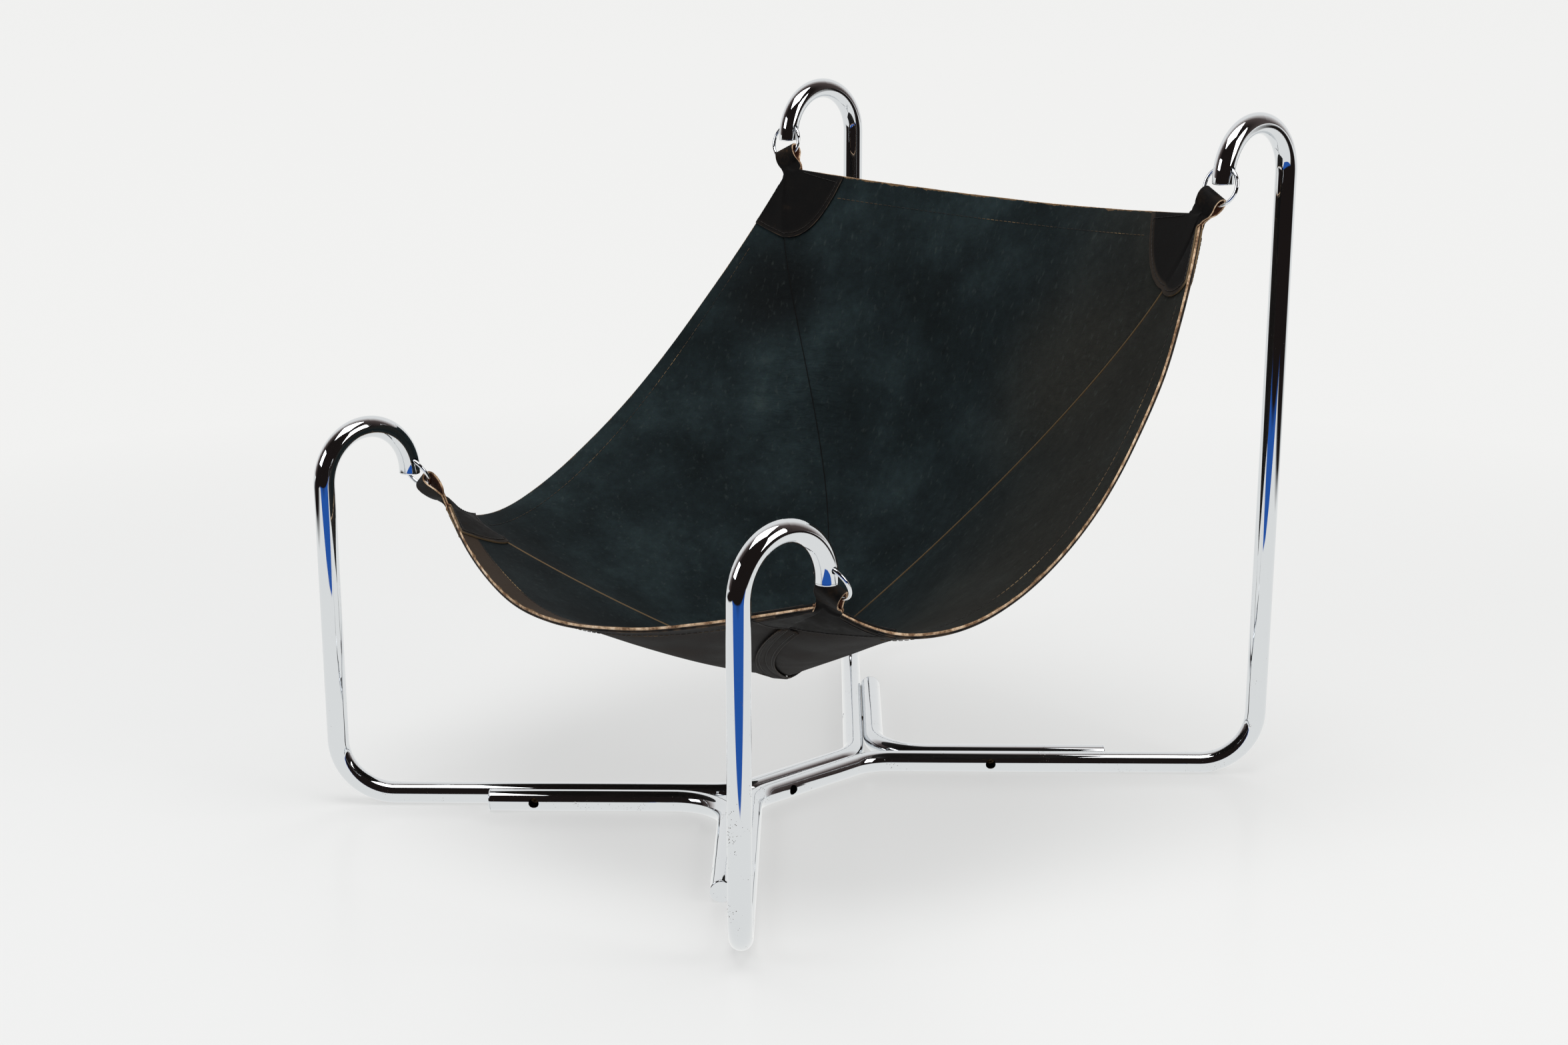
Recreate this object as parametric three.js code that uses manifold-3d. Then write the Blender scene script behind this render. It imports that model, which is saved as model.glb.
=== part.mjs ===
// Leather sling lounge chair. Two bent side tubes lie side by side along the middle of the base, two vee
// tubes brace their arms, and a leather sling sewn from four panels hangs by rings from the hooked legs.
// Millimetres, +Z up, floor at zero. The sitter faces -Y, and X = 0 is the mirror plane.

import * as THREE from 'three';
import { mergeVertices } from 'three/addons/utils/BufferGeometryUtils.js';
import Module from 'manifold-3d';

const wasm = await Module();
wasm.setup();

// Fits
const FIT_GAP = 0.3; // between pieces that touch
const PATCH_GAP = 1.7; // between the sling and the patches sewn on its corners
const TAPE_GAP = 0.6; // between the sling and the tapes sewn under its seams

// Tube frame
const TUBE_DIAMETER = 25;
const TUBE_WALL = 2;
const TUBE_SIDES = 16;
const BORE_SIDES = 8;
const HOLE_SIDES = 12; // of drilled holes, screws and nuts
const BEND_STEP = 15; // degrees of a bend between two rings of faces
const CENTRE_RUN = 196; // between the two corners where the arms leave the middle
const ARM_ANGLE = 45; // of each arm to the middle line
const ARM_LENGTH = 468; // from that corner to the axis of the leg
const BASE_BEND = 66; // centreline radius at the feet and where the arms spread
const LEG_LEAN = 0.66; // degrees outwards, along the arm
const FRONT_HEIGHT = 456; // floor to the top of the front hooks
const BACK_HEIGHT = 803; // floor to the top of the back hooks
const HOOK_BEND = 60; // centreline radius of the hooks
const HOOK_SPAN = 121; // leg axis to the axis of the hook's end
const HOOK_TAIL = 2; // straight end of the hook after its bend
const VEE_SHORT = 188; // by which a leg of a vee tube is shorter than an arm

// Bolted joints
const FRONT_BOLT = 51; // along a leg of the front vee, from its end
const REAR_BOLT = 141; // along a leg of the rear vee, from its corner
const CENTRE_BOLT = -42; // along the middle run
const ACCESS_HOLE = 12; // lets the screw head into the tube
const SCREW_DIAMETER = 6;
const SCREW_LENGTH = 15;
const SCREW_HEAD = 10;
const SCREW_HEAD_HEIGHT = 6;
const SCREW_SOCKET = 5; // across the flats
const SCREW_SOCKET_DEPTH = 3;
const HEX_SIDES = 6;
const SCREW_CLEARANCE = 0.4; // round the shank
const NUT_DIAMETER = 12;
const NUT_HEIGHT = 8;

// End plugs of the tubes
const PLUG_RIM = 2;
const PLUG_BEVEL = 0.8;
const PLUG_SPIGOT = 3;

// Hanging rings
const RING_DIAMETER = 44; // of the wire's centre line
const RING_WIRE = 4.5;
const RING_HOLE = 7.8;
const RING_SIDES = 6;
const RING_STEPS = 24;
const RING_SETBACK = 14; // end of the hook to the middle of the ring's hole

// Sling, right half: each corner hangs at an offset from the hole of its ring. Edges and seams are cubic
// curves, and each of their handles lies at an offset from the end that it belongs to.
const LEATHER = 4;
const BACK_HANG = new THREE.Vector3(-17.5, -15.8, -50.4);
const FRONT_HANG = new THREE.Vector3(-28.7, 32, -50.4);
const SEAT_LOW = new THREE.Vector3(0, -28, 147);
const BACK_EDGE_HANDLE = new THREE.Vector3(-265, 70, -21);
const FRONT_EDGE_HANDLE = new THREE.Vector3(-272, -137, -80);
const SIDE_EDGE_REAR_HANDLE = new THREE.Vector3(76, -149, -262);
const SIDE_EDGE_FRONT_HANDLE = new THREE.Vector3(103, 158, -136);
const REAR_SEAM_HIGH_HANDLE = new THREE.Vector3(14, -55, -120);
const REAR_SEAM_LOW_HANDLE = new THREE.Vector3(24, 211, 100);
const FRONT_SEAM_HIGH_HANDLE = new THREE.Vector3(-39, -11, -17);
const FRONT_SEAM_LOW_HANDLE = new THREE.Vector3(71, -151, 70);
const PANEL_COLUMNS = 18;
const PANEL_ROWS = 12;
const PANEL_ROW_SPREAD = 1.25; // above 1 the rows lie closer near the free edge
const PANEL_TIP = 0.985; // share of the way from the edge to the lowest point
const SEAM_ROUNDING = 25; // distance from a seam over which the leather turns into the next panel

// Corner pieces: a patch inside, a loop round the ring and a patch outside, cut from one strip
const LOOP_LEATHER = 2.5;
const LOOP_WIDTH = 30;
const LOOP_ROOM = 6.2; // inside radius of the loop where it holds the ring
const LOOP_FOLD = 11; // centre of the ring to the inside of the fold
const PATCH_STRAIGHT = 80; // corner to where the patch leaves the sling's edges
const PATCH_LENGTH = 100; // corner to the round end of the patch, along the seam
const PATCH_TIP = 0.45; // share of the full width left at that end

// Tapes under the seams
const TAPE_LEATHER = 2;
const TAPE_WIDTH = 22;
const TAPE_START = 108; // along the seam, from the corner
const TAPE_END = 72; // left free before the lowest point

const SAME_POINT = 1e-4; // vertices closer than this are one
const X_AXIS = new THREE.Vector3(1, 0, 0);
const Y_AXIS = new THREE.Vector3(0, 1, 0);

const chrome = new THREE.MeshStandardMaterial({ color: 0xd4d6d8, roughness: 0.08, metalness: 1 });
const screwSteel = new THREE.MeshStandardMaterial({ color: 0x8c7a63, roughness: 0.4, metalness: 1 });
const suede = new THREE.MeshStandardMaterial({ color: 0x232b2c, roughness: 0.85, metalness: 0 });
const blackLeather = new THREE.MeshStandardMaterial({ color: 0x17161a, roughness: 0.55, metalness: 0 });

const chair = new THREE.Group();

function addPiece(name, geometry, material) {
  const mesh = new THREE.Mesh(geometry, material);
  mesh.name = name;
  chair.add(mesh);
  return mesh;
}

function radians(degrees) {
  return THREE.MathUtils.degToRad(degrees);
}

function mirrored(point) {
  return new THREE.Vector3(-point.x, point.y, point.z);
}

// Solids: joining and cutting

function toSolid(geometry) {
  const bare = geometry.clone();
  bare.deleteAttribute('normal');
  bare.deleteAttribute('uv');
  const merged = mergeVertices(bare, SAME_POINT);
  const vertProperties = Float32Array.from(merged.attributes.position.array);
  const triVerts = Uint32Array.from(merged.index.array);
  return new wasm.Manifold(new wasm.Mesh({ numProp: 3, vertProperties, triVerts }));
}

function fromSolid(solid) {
  const mesh = solid.getMesh();
  const geometry = new THREE.BufferGeometry();
  geometry.setAttribute('position', new THREE.BufferAttribute(Float32Array.from(mesh.vertProperties), 3));
  geometry.setIndex(Array.from(mesh.triVerts));
  geometry.computeVertexNormals();
  return geometry;
}

function cut(geometry, cutters) {
  let solid = toSolid(geometry);
  for (const cutter of cutters) {
    solid = solid.subtract(toSolid(cutter));
  }
  return fromSolid(solid);
}

// A round or hexagonal bar between two points
function bar(from, to, diameter, sides) {
  const along = to.clone().sub(from);
  const geometry = new THREE.CylinderGeometry(diameter / 2, diameter / 2, along.length(), sides);
  geometry.applyQuaternion(new THREE.Quaternion().setFromUnitVectors(Y_AXIS, along.clone().normalize()));
  const middle = from.clone().add(to).multiplyScalar(0.5);
  geometry.translate(middle.x, middle.y, middle.z);
  return geometry;
}

// A profile of radius and height turned about an axis that starts at a point
function turned(profile, start, axis, sides) {
  const geometry = new THREE.LatheGeometry(profile.map(([r, h]) => new THREE.Vector2(r, h)), sides);
  geometry.applyQuaternion(new THREE.Quaternion().setFromUnitVectors(Y_AXIS, axis));
  geometry.translate(start.x, start.y, start.z);
  return geometry;
}

// Bent tubes

// A polygon whose flats lie at the given distance, with flats square to both section axes
function flatSided(sides, flat) {
  const points = [];
  const corner = flat / Math.cos(Math.PI / sides);
  for (let k = 0; k < sides; k += 1) {
    const angle = ((k + 0.5) * 2 * Math.PI) / sides;
    points.push(new THREE.Vector2(corner * Math.cos(angle), corner * Math.sin(angle)));
  }
  return points;
}

// Straight runs joined by arcs, with one ring of faces at each end of a run and along each arc
class BentPath extends THREE.Curve {
  constructor(corners, radii) {
    super();
    this.stations = [];
    const last = corners.length - 1;
    const heading = (k) => corners[k + 1].clone().sub(corners[k]).normalize();
    this.addStation(corners[0].clone(), heading(0));
    for (let k = 1; k < last; k += 1) {
      this.addBend(corners[k], heading(k - 1), heading(k), radii[k - 1]);
    }
    this.addStation(corners[last].clone(), heading(last - 1));
  }

  addStation(point, tangent) {
    this.stations.push({ point, tangent });
  }

  addBend(corner, before, after, radius) {
    const turn = before.angleTo(after);
    const start = corner.clone().addScaledVector(before, -radius * Math.tan(turn / 2));
    const inward = after.clone().addScaledVector(before, -Math.cos(turn)).normalize();
    const steps = Math.ceil(THREE.MathUtils.radToDeg(turn) / BEND_STEP);
    for (let k = 0; k <= steps; k += 1) {
      const angle = (turn * k) / steps;
      const point = start.clone();
      point.addScaledVector(before, radius * Math.sin(angle));
      point.addScaledVector(inward, radius * (1 - Math.cos(angle)));
      const tangent = before.clone().multiplyScalar(Math.cos(angle));
      tangent.addScaledVector(inward, Math.sin(angle));
      this.addStation(point, tangent.normalize());
    }
  }

  station(u) {
    return this.stations[Math.round(u * (this.stations.length - 1))];
  }

  getPointAt(u, target = new THREE.Vector3()) {
    return target.copy(this.station(u).point);
  }

  getTangentAt(u, target = new THREE.Vector3()) {
    return target.copy(this.station(u).tangent);
  }

  // The point on the path at a distance from its start, or from its end
  walk(distance, fromEnd) {
    const points = this.stations.map((station) => station.point);
    if (fromEnd) {
      points.reverse();
    }
    let left = distance;
    let k = 0;
    while (left > points[k].distanceTo(points[k + 1])) {
      left -= points[k].distanceTo(points[k + 1]);
      k += 1;
    }
    return points[k].clone().lerp(points[k + 1], left / points[k].distanceTo(points[k + 1]));
  }
}

function tube(path) {
  const section = new THREE.Shape(flatSided(TUBE_SIDES, TUBE_DIAMETER / 2));
  section.holes.push(new THREE.Path(flatSided(BORE_SIDES, TUBE_DIAMETER / 2 - TUBE_WALL)));
  const steps = path.stations.length - 1;
  return new THREE.ExtrudeGeometry(section, { steps, bevelEnabled: false, extrudePath: path });
}

// Frame layout, right half

const axisHeight = TUBE_DIAMETER / 2;
const pitch = TUBE_DIAMETER + FIT_GAP; // between the axes of two tubes that touch
const armAcross = Math.sin(radians(ARM_ANGLE));
const armAlong = Math.cos(radians(ARM_ANGLE));

// end is -1 at the front of the chair and 1 at the back
function armDirection(end) {
  return new THREE.Vector3(armAcross, end * armAlong, 0);
}

function armCorner(end) {
  return new THREE.Vector3(pitch / 2, (end * CENTRE_RUN) / 2, axisHeight);
}

function legDirection(end) {
  const lean = radians(LEG_LEAN);
  return armDirection(end).multiplyScalar(Math.sin(lean)).setZ(Math.cos(lean));
}

// Hook end, hook far corner, hook near corner, foot and arm corner, in that order
function legCorners(end, height) {
  const foot = armCorner(end).addScaledVector(armDirection(end), ARM_LENGTH);
  const up = legDirection(end);
  const top = foot.clone().addScaledVector(up, (height - TUBE_DIAMETER / 2 - axisHeight) / up.z);
  const far = top.clone();
  far.y -= end * HOOK_SPAN;
  const down = new THREE.Vector3(-up.x, 0, -up.z).normalize();
  const tail = far.clone().addScaledVector(down, HOOK_BEND + HOOK_TAIL);
  return [tail, far, top, foot, armCorner(end)];
}

const sideCorners = [...legCorners(-1, FRONT_HEIGHT), ...legCorners(1, BACK_HEIGHT).reverse()];
const sideRadii = [HOOK_BEND, HOOK_BEND, BASE_BEND, BASE_BEND, BASE_BEND, BASE_BEND, HOOK_BEND, HOOK_BEND];
const sidePath = new BentPath(sideCorners, sideRadii);
const veeLeg = ARM_LENGTH - VEE_SHORT;

// Corner of a vee tube: its legs lie beside the arms, inside the spread of the arms
function veeCorner(end) {
  const slide = (pitch * armAlong - pitch / 2) / armAcross;
  const y = CENTRE_RUN / 2 + pitch * armAcross + slide * armAlong;
  return new THREE.Vector3(0, end * y, axisHeight);
}

function veePoint(end, side, distance) {
  const direction = armDirection(end);
  direction.x *= side;
  return veeCorner(end).addScaledVector(direction, distance);
}

// From a leg of a vee tube square across to the arm beside it
function veeToArm(end, side) {
  return new THREE.Vector3(side * armAlong, -end * armAcross, 0);
}

// Each bolted joint: the axis point in the tube that holds the head, and the way the screw goes in
const bolts = [];
for (const [sideName, side] of [['right', 1], ['left', -1]]) {
  const frontAxis = veePoint(-1, side, veeLeg - FRONT_BOLT);
  const rearAxis = veePoint(1, side, REAR_BOLT);
  const rearInward = veeToArm(1, side);
  rearAxis.addScaledVector(rearInward, pitch);
  bolts.push({
    name: `front_${sideName}`,
    head: 'front_vee',
    nut: sideName,
    at: frontAxis,
    way: veeToArm(-1, side),
  });
  bolts.push({
    name: `rear_${sideName}`,
    head: sideName,
    nut: 'rear_vee',
    at: rearAxis,
    way: rearInward.clone().negate(),
  });
}
bolts.push({
  name: 'centre',
  head: 'right',
  nut: 'left',
  at: new THREE.Vector3(pitch / 2, CENTRE_BOLT, axisHeight),
  way: X_AXIS.clone().negate(),
});

function boltCutters(tubeName) {
  const cutters = [];
  for (const bolt of bolts) {
    const across = bolt.at.clone().addScaledVector(bolt.way, pitch);
    if (bolt.head === tubeName) {
      const outside = bolt.at.clone().addScaledVector(bolt.way, -TUBE_DIAMETER);
      cutters.push(bar(bolt.at, outside, ACCESS_HOLE, HOLE_SIDES));
    }
    if (bolt.head === tubeName || bolt.nut === tubeName) {
      cutters.push(bar(bolt.at, across, SCREW_DIAMETER + 2 * SCREW_CLEARANCE, HOLE_SIDES));
    }
  }
  return cutters;
}

// A plug with a bevelled rim and a spigot in the bore, set against the end of a tube
function addPlug(name, end, outward) {
  const rim = TUBE_DIAMETER / 2;
  const spigot = rim - TUBE_WALL - FIT_GAP;
  const profile = [
    [0, -PLUG_SPIGOT],
    [spigot, -PLUG_SPIGOT],
    [spigot, FIT_GAP],
    [rim, FIT_GAP],
    [rim, FIT_GAP + PLUG_RIM - PLUG_BEVEL],
    [rim - PLUG_BEVEL, FIT_GAP + PLUG_RIM],
    [0, FIT_GAP + PLUG_RIM],
  ];
  addPiece(name, turned(profile, end, outward, TUBE_SIDES), chrome);
}

// Sling layout

function curve(from, fromOffset, toOffset, to) {
  return new THREE.CubicBezierCurve3(from, from.clone().add(fromOffset), to.clone().add(toOffset), to);
}

const backCorner = sidePath.walk(RING_SETBACK, true).add(BACK_HANG);
const frontCorner = sidePath.walk(RING_SETBACK, false).add(FRONT_HANG);
const cornerPoints = {
  back_right: backCorner,
  back_left: mirrored(backCorner),
  front_left: mirrored(frontCorner),
  front_right: frontCorner,
};

const seams = {
  back_right: curve(backCorner, REAR_SEAM_HIGH_HANDLE, REAR_SEAM_LOW_HANDLE, SEAT_LOW),
  back_left: curve(
    cornerPoints.back_left,
    mirrored(REAR_SEAM_HIGH_HANDLE),
    mirrored(REAR_SEAM_LOW_HANDLE),
    SEAT_LOW,
  ),
  front_left: curve(
    cornerPoints.front_left,
    mirrored(FRONT_SEAM_HIGH_HANDLE),
    mirrored(FRONT_SEAM_LOW_HANDLE),
    SEAT_LOW,
  ),
  front_right: curve(frontCorner, FRONT_SEAM_HIGH_HANDLE, FRONT_SEAM_LOW_HANDLE, SEAT_LOW),
};

// A panel runs from its free edge, v = 0, to the lowest point, v = 1, between two seams, u = 0 and u = 1
class Panel {
  constructor(from, to, fromHandle, toHandle) {
    this.edge = curve(cornerPoints[from], fromHandle, toHandle, cornerPoints[to]);
    this.from = from;
    this.to = to;
  }

  point(u, v) {
    const sum = this.edge.getPoint(u).multiplyScalar(1 - v);
    sum.addScaledVector(SEAT_LOW, v);
    sum.addScaledVector(seams[this.from].getPoint(v), 1 - u);
    sum.addScaledVector(seams[this.to].getPoint(v), u);
    sum.addScaledVector(this.edge.v0, -(1 - u) * (1 - v));
    sum.addScaledVector(this.edge.v3, -u * (1 - v));
    return sum.addScaledVector(SEAT_LOW, -v);
  }

  // Away from the sitter, square to this panel alone
  plainNormal(u, v) {
    const step = 0.01;
    const inside = THREE.MathUtils.clamp(u, step, 1 - step);
    const depth = THREE.MathUtils.clamp(v, 0, PANEL_TIP);
    const across = this.point(inside + step, depth).sub(this.point(inside - step, depth));
    const down = this.point(inside, depth + step).sub(this.point(inside, depth - step));
    return down.cross(across).normalize();
  }

  // Away from the sitter, turning into the next panel near the seams
  normal(u, v) {
    const half = 0.5;
    const nearFrom = Math.max(0, 1 - u / Math.min(half, this.shareOf(SEAM_ROUNDING, v, 0)));
    const nearTo = Math.max(0, 1 - (1 - u) / Math.min(half, this.shareOf(SEAM_ROUNDING, v, 1)));
    const sum = this.plainNormal(u, v).multiplyScalar(1 - nearFrom - nearTo);
    sum.addScaledVector(seamNormal(this.from, v), nearFrom);
    sum.addScaledVector(seamNormal(this.to, v), nearTo);
    return sum.normalize();
  }

  // Share of the panel's width that a distance from the seam at u = 0 or u = 1 takes
  shareOf(distance, v, seam) {
    const step = 0.02;
    return (distance * step) / this.point(seam, v).distanceTo(this.point(Math.abs(seam - step), v));
  }

  // Share of the free edge that a distance from the corner at u = 0 or u = 1 takes
  edgeShareOf(distance, corner) {
    if (corner === 0) {
      return this.edge.getUtoTmapping(0, distance);
    }
    return 1 - this.edge.getUtoTmapping(0, this.edge.getLength() - distance);
  }
}

function panelRow(i) {
  return PANEL_TIP * (i / PANEL_ROWS) ** PANEL_ROW_SPREAD;
}

const panels = {
  back: new Panel('back_right', 'back_left', BACK_EDGE_HANDLE, mirrored(BACK_EDGE_HANDLE)),
  left: new Panel(
    'back_left',
    'front_left',
    mirrored(SIDE_EDGE_REAR_HANDLE),
    mirrored(SIDE_EDGE_FRONT_HANDLE),
  ),
  front: new Panel('front_left', 'front_right', mirrored(FRONT_EDGE_HANDLE), FRONT_EDGE_HANDLE),
  right: new Panel('front_right', 'back_right', SIDE_EDGE_FRONT_HANDLE, SIDE_EDGE_REAR_HANDLE),
};

// The panels on both sides of each seam: the one that ends there and the one that starts there
const neighbours = {
  back_right: [panels.right, panels.back],
  back_left: [panels.back, panels.left],
  front_left: [panels.left, panels.front],
  front_right: [panels.front, panels.right],
};

function seamNormal(corner, v) {
  const [before, after] = neighbours[corner];
  return before.plainNormal(1, v).add(after.plainNormal(0, v)).normalize();
}

// A sheet of even thickness on a grid of places, each a point and a normal
function sheet(grid, thickness) {
  const rows = grid.length;
  const columns = grid[0].length;
  const position = [];
  for (const lift of [thickness / 2, -thickness / 2]) {
    for (const { point, normal } of grid.flat()) {
      position.push(...point.clone().addScaledVector(normal, lift).toArray());
    }
  }
  const upper = (i, j) => i * columns + j;
  const lower = (i, j) => rows * columns + i * columns + j;
  const index = [];
  for (let i = 0; i < rows - 1; i += 1) {
    for (let j = 0; j < columns - 1; j += 1) {
      index.push(upper(i, j), upper(i + 1, j), upper(i + 1, j + 1));
      index.push(upper(i, j), upper(i + 1, j + 1), upper(i, j + 1));
      index.push(lower(i, j), lower(i + 1, j + 1), lower(i + 1, j));
      index.push(lower(i, j), lower(i, j + 1), lower(i + 1, j + 1));
    }
  }
  const rim = [];
  for (let i = 0; i < rows - 1; i += 1) {
    rim.push([i, 0]);
  }
  for (let j = 0; j < columns - 1; j += 1) {
    rim.push([rows - 1, j]);
  }
  for (let i = rows - 1; i > 0; i -= 1) {
    rim.push([i, columns - 1]);
  }
  for (let j = columns - 1; j > 0; j -= 1) {
    rim.push([0, j]);
  }
  rim.forEach(([i, j], k) => {
    const [m, n] = rim[(k + 1) % rim.length];
    index.push(lower(i, j), lower(m, n), upper(m, n));
    index.push(lower(i, j), upper(m, n), upper(i, j));
  });
  const geometry = new THREE.BufferGeometry();
  geometry.setAttribute('position', new THREE.Float32BufferAttribute(position, 3));
  geometry.setIndex(index);
  geometry.computeVertexNormals();
  return geometry;
}

function addPanel(name, panel) {
  const grid = [];
  for (let i = 0; i <= PANEL_ROWS; i += 1) {
    const v = panelRow(i);
    const fromMargin = panel.shareOf(FIT_GAP / 2, v, 0);
    const toMargin = panel.shareOf(FIT_GAP / 2, v, 1);
    grid.push([]);
    for (let j = 0; j <= PANEL_COLUMNS; j += 1) {
      const even = j / PANEL_COLUMNS;
      const share = THREE.MathUtils.lerp((1 - Math.cos(Math.PI * even)) / 2, even, v);
      const u = THREE.MathUtils.lerp(fromMargin, 1 - toMargin, share);
      grid[i].push({ point: panel.point(u, v), normal: panel.normal(share, v) });
    }
  }
  addPiece(name, sheet(grid, LEATHER), suede);
}

// Hanging rings and the corner pieces of the sling

const LOOP_SHARES = [1, 0.66, 0.32, 0, -0.32, -0.66, -1]; // across a patch or strap
const PATCH_STEPS = [1, 0.92, 0.8, 0.6, 0.4, 0.2]; // along a patch, from its round end
const LEG_STEPS = [0, 0.35, 0.7]; // along a leg of the strap, from the corner
const FOLD_STEPS = [90, 55, 20, -20, -55, -90]; // degrees round the fold
const SEAT_LIFT = LEATHER / 2 + PATCH_GAP + LOOP_LEATHER / 2;

// Places of one ring: the middle of its hole, the way it hangs, its centre, and the way to the corner
function ringPlaces(hole, corner) {
  const hang = corner.clone().sub(hole).setX(0).normalize();
  const radius = RING_DIAMETER / 2;
  const wall = (TUBE_DIAMETER - TUBE_WALL) / 2;
  const centre = hole.clone().addScaledVector(hang, Math.sqrt(radius * radius - wall * wall));
  const pull = corner.clone().sub(centre).normalize();
  return { hole, hang, centre, pull, face: X_AXIS.clone().cross(hang) };
}

function addRing(name, places) {
  const geometry = new THREE.TorusGeometry(RING_DIAMETER / 2, RING_WIRE / 2, RING_SIDES, RING_STEPS);
  const basis = new THREE.Matrix4().makeBasis(X_AXIS, places.face.clone().cross(X_AXIS), places.face);
  geometry.applyMatrix4(basis);
  const offset = places.centre.clone().sub(places.hole);
  geometry.translate(offset.x, offset.y, offset.z);
  addPiece(name, geometry, chrome).position.copy(places.hole);
}

// Rows of one patch, from its round end to the corner. A negative share lies on the panel that ends there.
function patchRows(cornerName, lift) {
  const [before, after] = neighbours[cornerName];
  const seam = seams[cornerName];
  const rows = [];
  for (const step of PATCH_STEPS) {
    const distance = step * PATCH_LENGTH;
    const past = Math.max(0, (distance - PATCH_STRAIGHT) / (PATCH_LENGTH - PATCH_STRAIGHT));
    const width = Math.max(PATCH_TIP, Math.sqrt(1 - past * past));
    const edgeDistance = Math.min(distance, PATCH_STRAIGHT);
    const row = [];
    for (const share of LOOP_SHARES) {
      const out = Math.abs(share) * width;
      const v = (1 - out) * seam.getUtoTmapping(0, distance);
      const panel = share < 0 ? before : after;
      const own = out * panel.edgeShareOf(edgeDistance, share < 0 ? 1 : 0);
      const u = share < 0 ? 1 - own : own;
      const normal = panel.normal(u, v);
      const point = panel.point(u, v).addScaledVector(normal, lift);
      row.push({ point, normal: normal.multiplyScalar(Math.sign(lift)) });
    }
    rows.push(row);
  }
  return rows;
}

function addCornerLoop(name, cornerName, places) {
  const corner = cornerPoints[cornerName];
  const outward = seamNormal(cornerName, 0);
  const face = places.face.clone().multiplyScalar(Math.sign(places.face.dot(outward)));
  const across = face.clone().cross(places.pull);
  const bend = places.centre.clone().addScaledVector(places.pull, LOOP_FOLD + LOOP_ROOM);
  const roomy = LOOP_ROOM + LOOP_LEATHER / 2;
  const middleShare = LOOP_SHARES.indexOf(0);
  const outerPatch = patchRows(cornerName, SEAT_LIFT);
  const innerPatch = patchRows(cornerName, -SEAT_LIFT);

  // One leg of the strap keeps the crease of the corner at first and turns flat towards the ring
  const legRow = (step, side) => {
    const patch = side > 0 ? outerPatch : innerPatch;
    const root = patch[patch.length - 1];
    const turn = THREE.MathUtils.smoothstep(step, 0, LEG_STEPS[LEG_STEPS.length - 1]);
    return LOOP_SHARES.map((share, k) => {
      const atCorner = root[k].point.clone().sub(root[middleShare].point);
      atCorner.addScaledVector(outward, side * SEAT_LIFT);
      const atRing = across.clone().multiplyScalar((share * LOOP_WIDTH) / 2);
      atRing.addScaledVector(face, side * roomy);
      const point = corner.clone().lerp(bend, step).add(atCorner.lerp(atRing, turn));
      const normal = root[k].normal.clone().lerp(face.clone().multiplyScalar(side), turn).normalize();
      return { point, normal };
    });
  };

  const foldRow = (degrees) => {
    const normal = face.clone().multiplyScalar(Math.sin(radians(degrees)));
    normal.addScaledVector(places.pull, -Math.cos(radians(degrees)));
    return LOOP_SHARES.map((share) => {
      const point = bend.clone().addScaledVector(normal, roomy);
      point.addScaledVector(across, (share * LOOP_WIDTH) / 2);
      return { point, normal };
    });
  };

  const grid = [
    ...outerPatch,
    ...LEG_STEPS.map((step) => legRow(step, 1)),
    ...FOLD_STEPS.map(foldRow),
    ...LEG_STEPS.map((step) => legRow(step, -1)).reverse(),
    ...innerPatch.reverse(),
  ];
  addPiece(name, sheet(grid, LOOP_LEATHER), blackLeather);
}

// A tape lies under a seam, on the rows of the panels
function addSeamTape(name, cornerName) {
  const seam = seams[cornerName];
  const [before, after] = neighbours[cornerName];
  const lift = LEATHER / 2 + TAPE_GAP + TAPE_LEATHER / 2;
  const first = seam.getUtoTmapping(0, TAPE_START);
  const last = seam.getUtoTmapping(0, seam.getLength() - TAPE_END);
  const rows = [first];
  for (let i = 0; i <= PANEL_ROWS; i += 1) {
    if (panelRow(i) > first && panelRow(i) < last) {
      rows.push(panelRow(i));
    }
  }
  const grid = rows.map((v) => {
    const normal = seamNormal(cornerName, v);
    const row = [
      before.point(1 - before.shareOf(TAPE_WIDTH / 2, v, 1), v),
      seam.getPoint(v),
      after.point(after.shareOf(TAPE_WIDTH / 2, v, 0), v),
    ];
    return row.map((point) => ({ point: point.addScaledVector(normal, lift), normal }));
  });
  addPiece(name, sheet(grid, TAPE_LEATHER), blackLeather);
}

// Assembly

for (const [sideName, side] of [['right', 1], ['left', -1]]) {
  const path = side > 0 ? sidePath : new BentPath(sideCorners.map(mirrored), sideRadii);
  const cutters = boltCutters(sideName);
  for (const [endName, fromEnd] of [['front', false], ['back', true]]) {
    const cornerName = `${endName}_${sideName}`;
    const places = ringPlaces(path.walk(RING_SETBACK, fromEnd), cornerPoints[cornerName]);
    const reach = X_AXIS.clone().multiplyScalar(TUBE_DIAMETER);
    const drillFrom = places.hole.clone().sub(reach);
    const drillTo = places.hole.clone().add(reach);
    cutters.push(bar(drillFrom, drillTo, RING_HOLE, HOLE_SIDES));
    const tip = path.stations[fromEnd ? path.stations.length - 1 : 0];
    addPlug(`hook_plug_${cornerName}`, tip.point, tip.tangent.clone().multiplyScalar(fromEnd ? 1 : -1));
    addRing(`ring_${cornerName}`, places);
    addCornerLoop(`corner_loop_${cornerName}`, cornerName, places);
    addSeamTape(`seam_tape_${cornerName}`, cornerName);
  }
  addPiece(`${sideName}_side_tube`, cut(tube(path), cutters), chrome);
}

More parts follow.
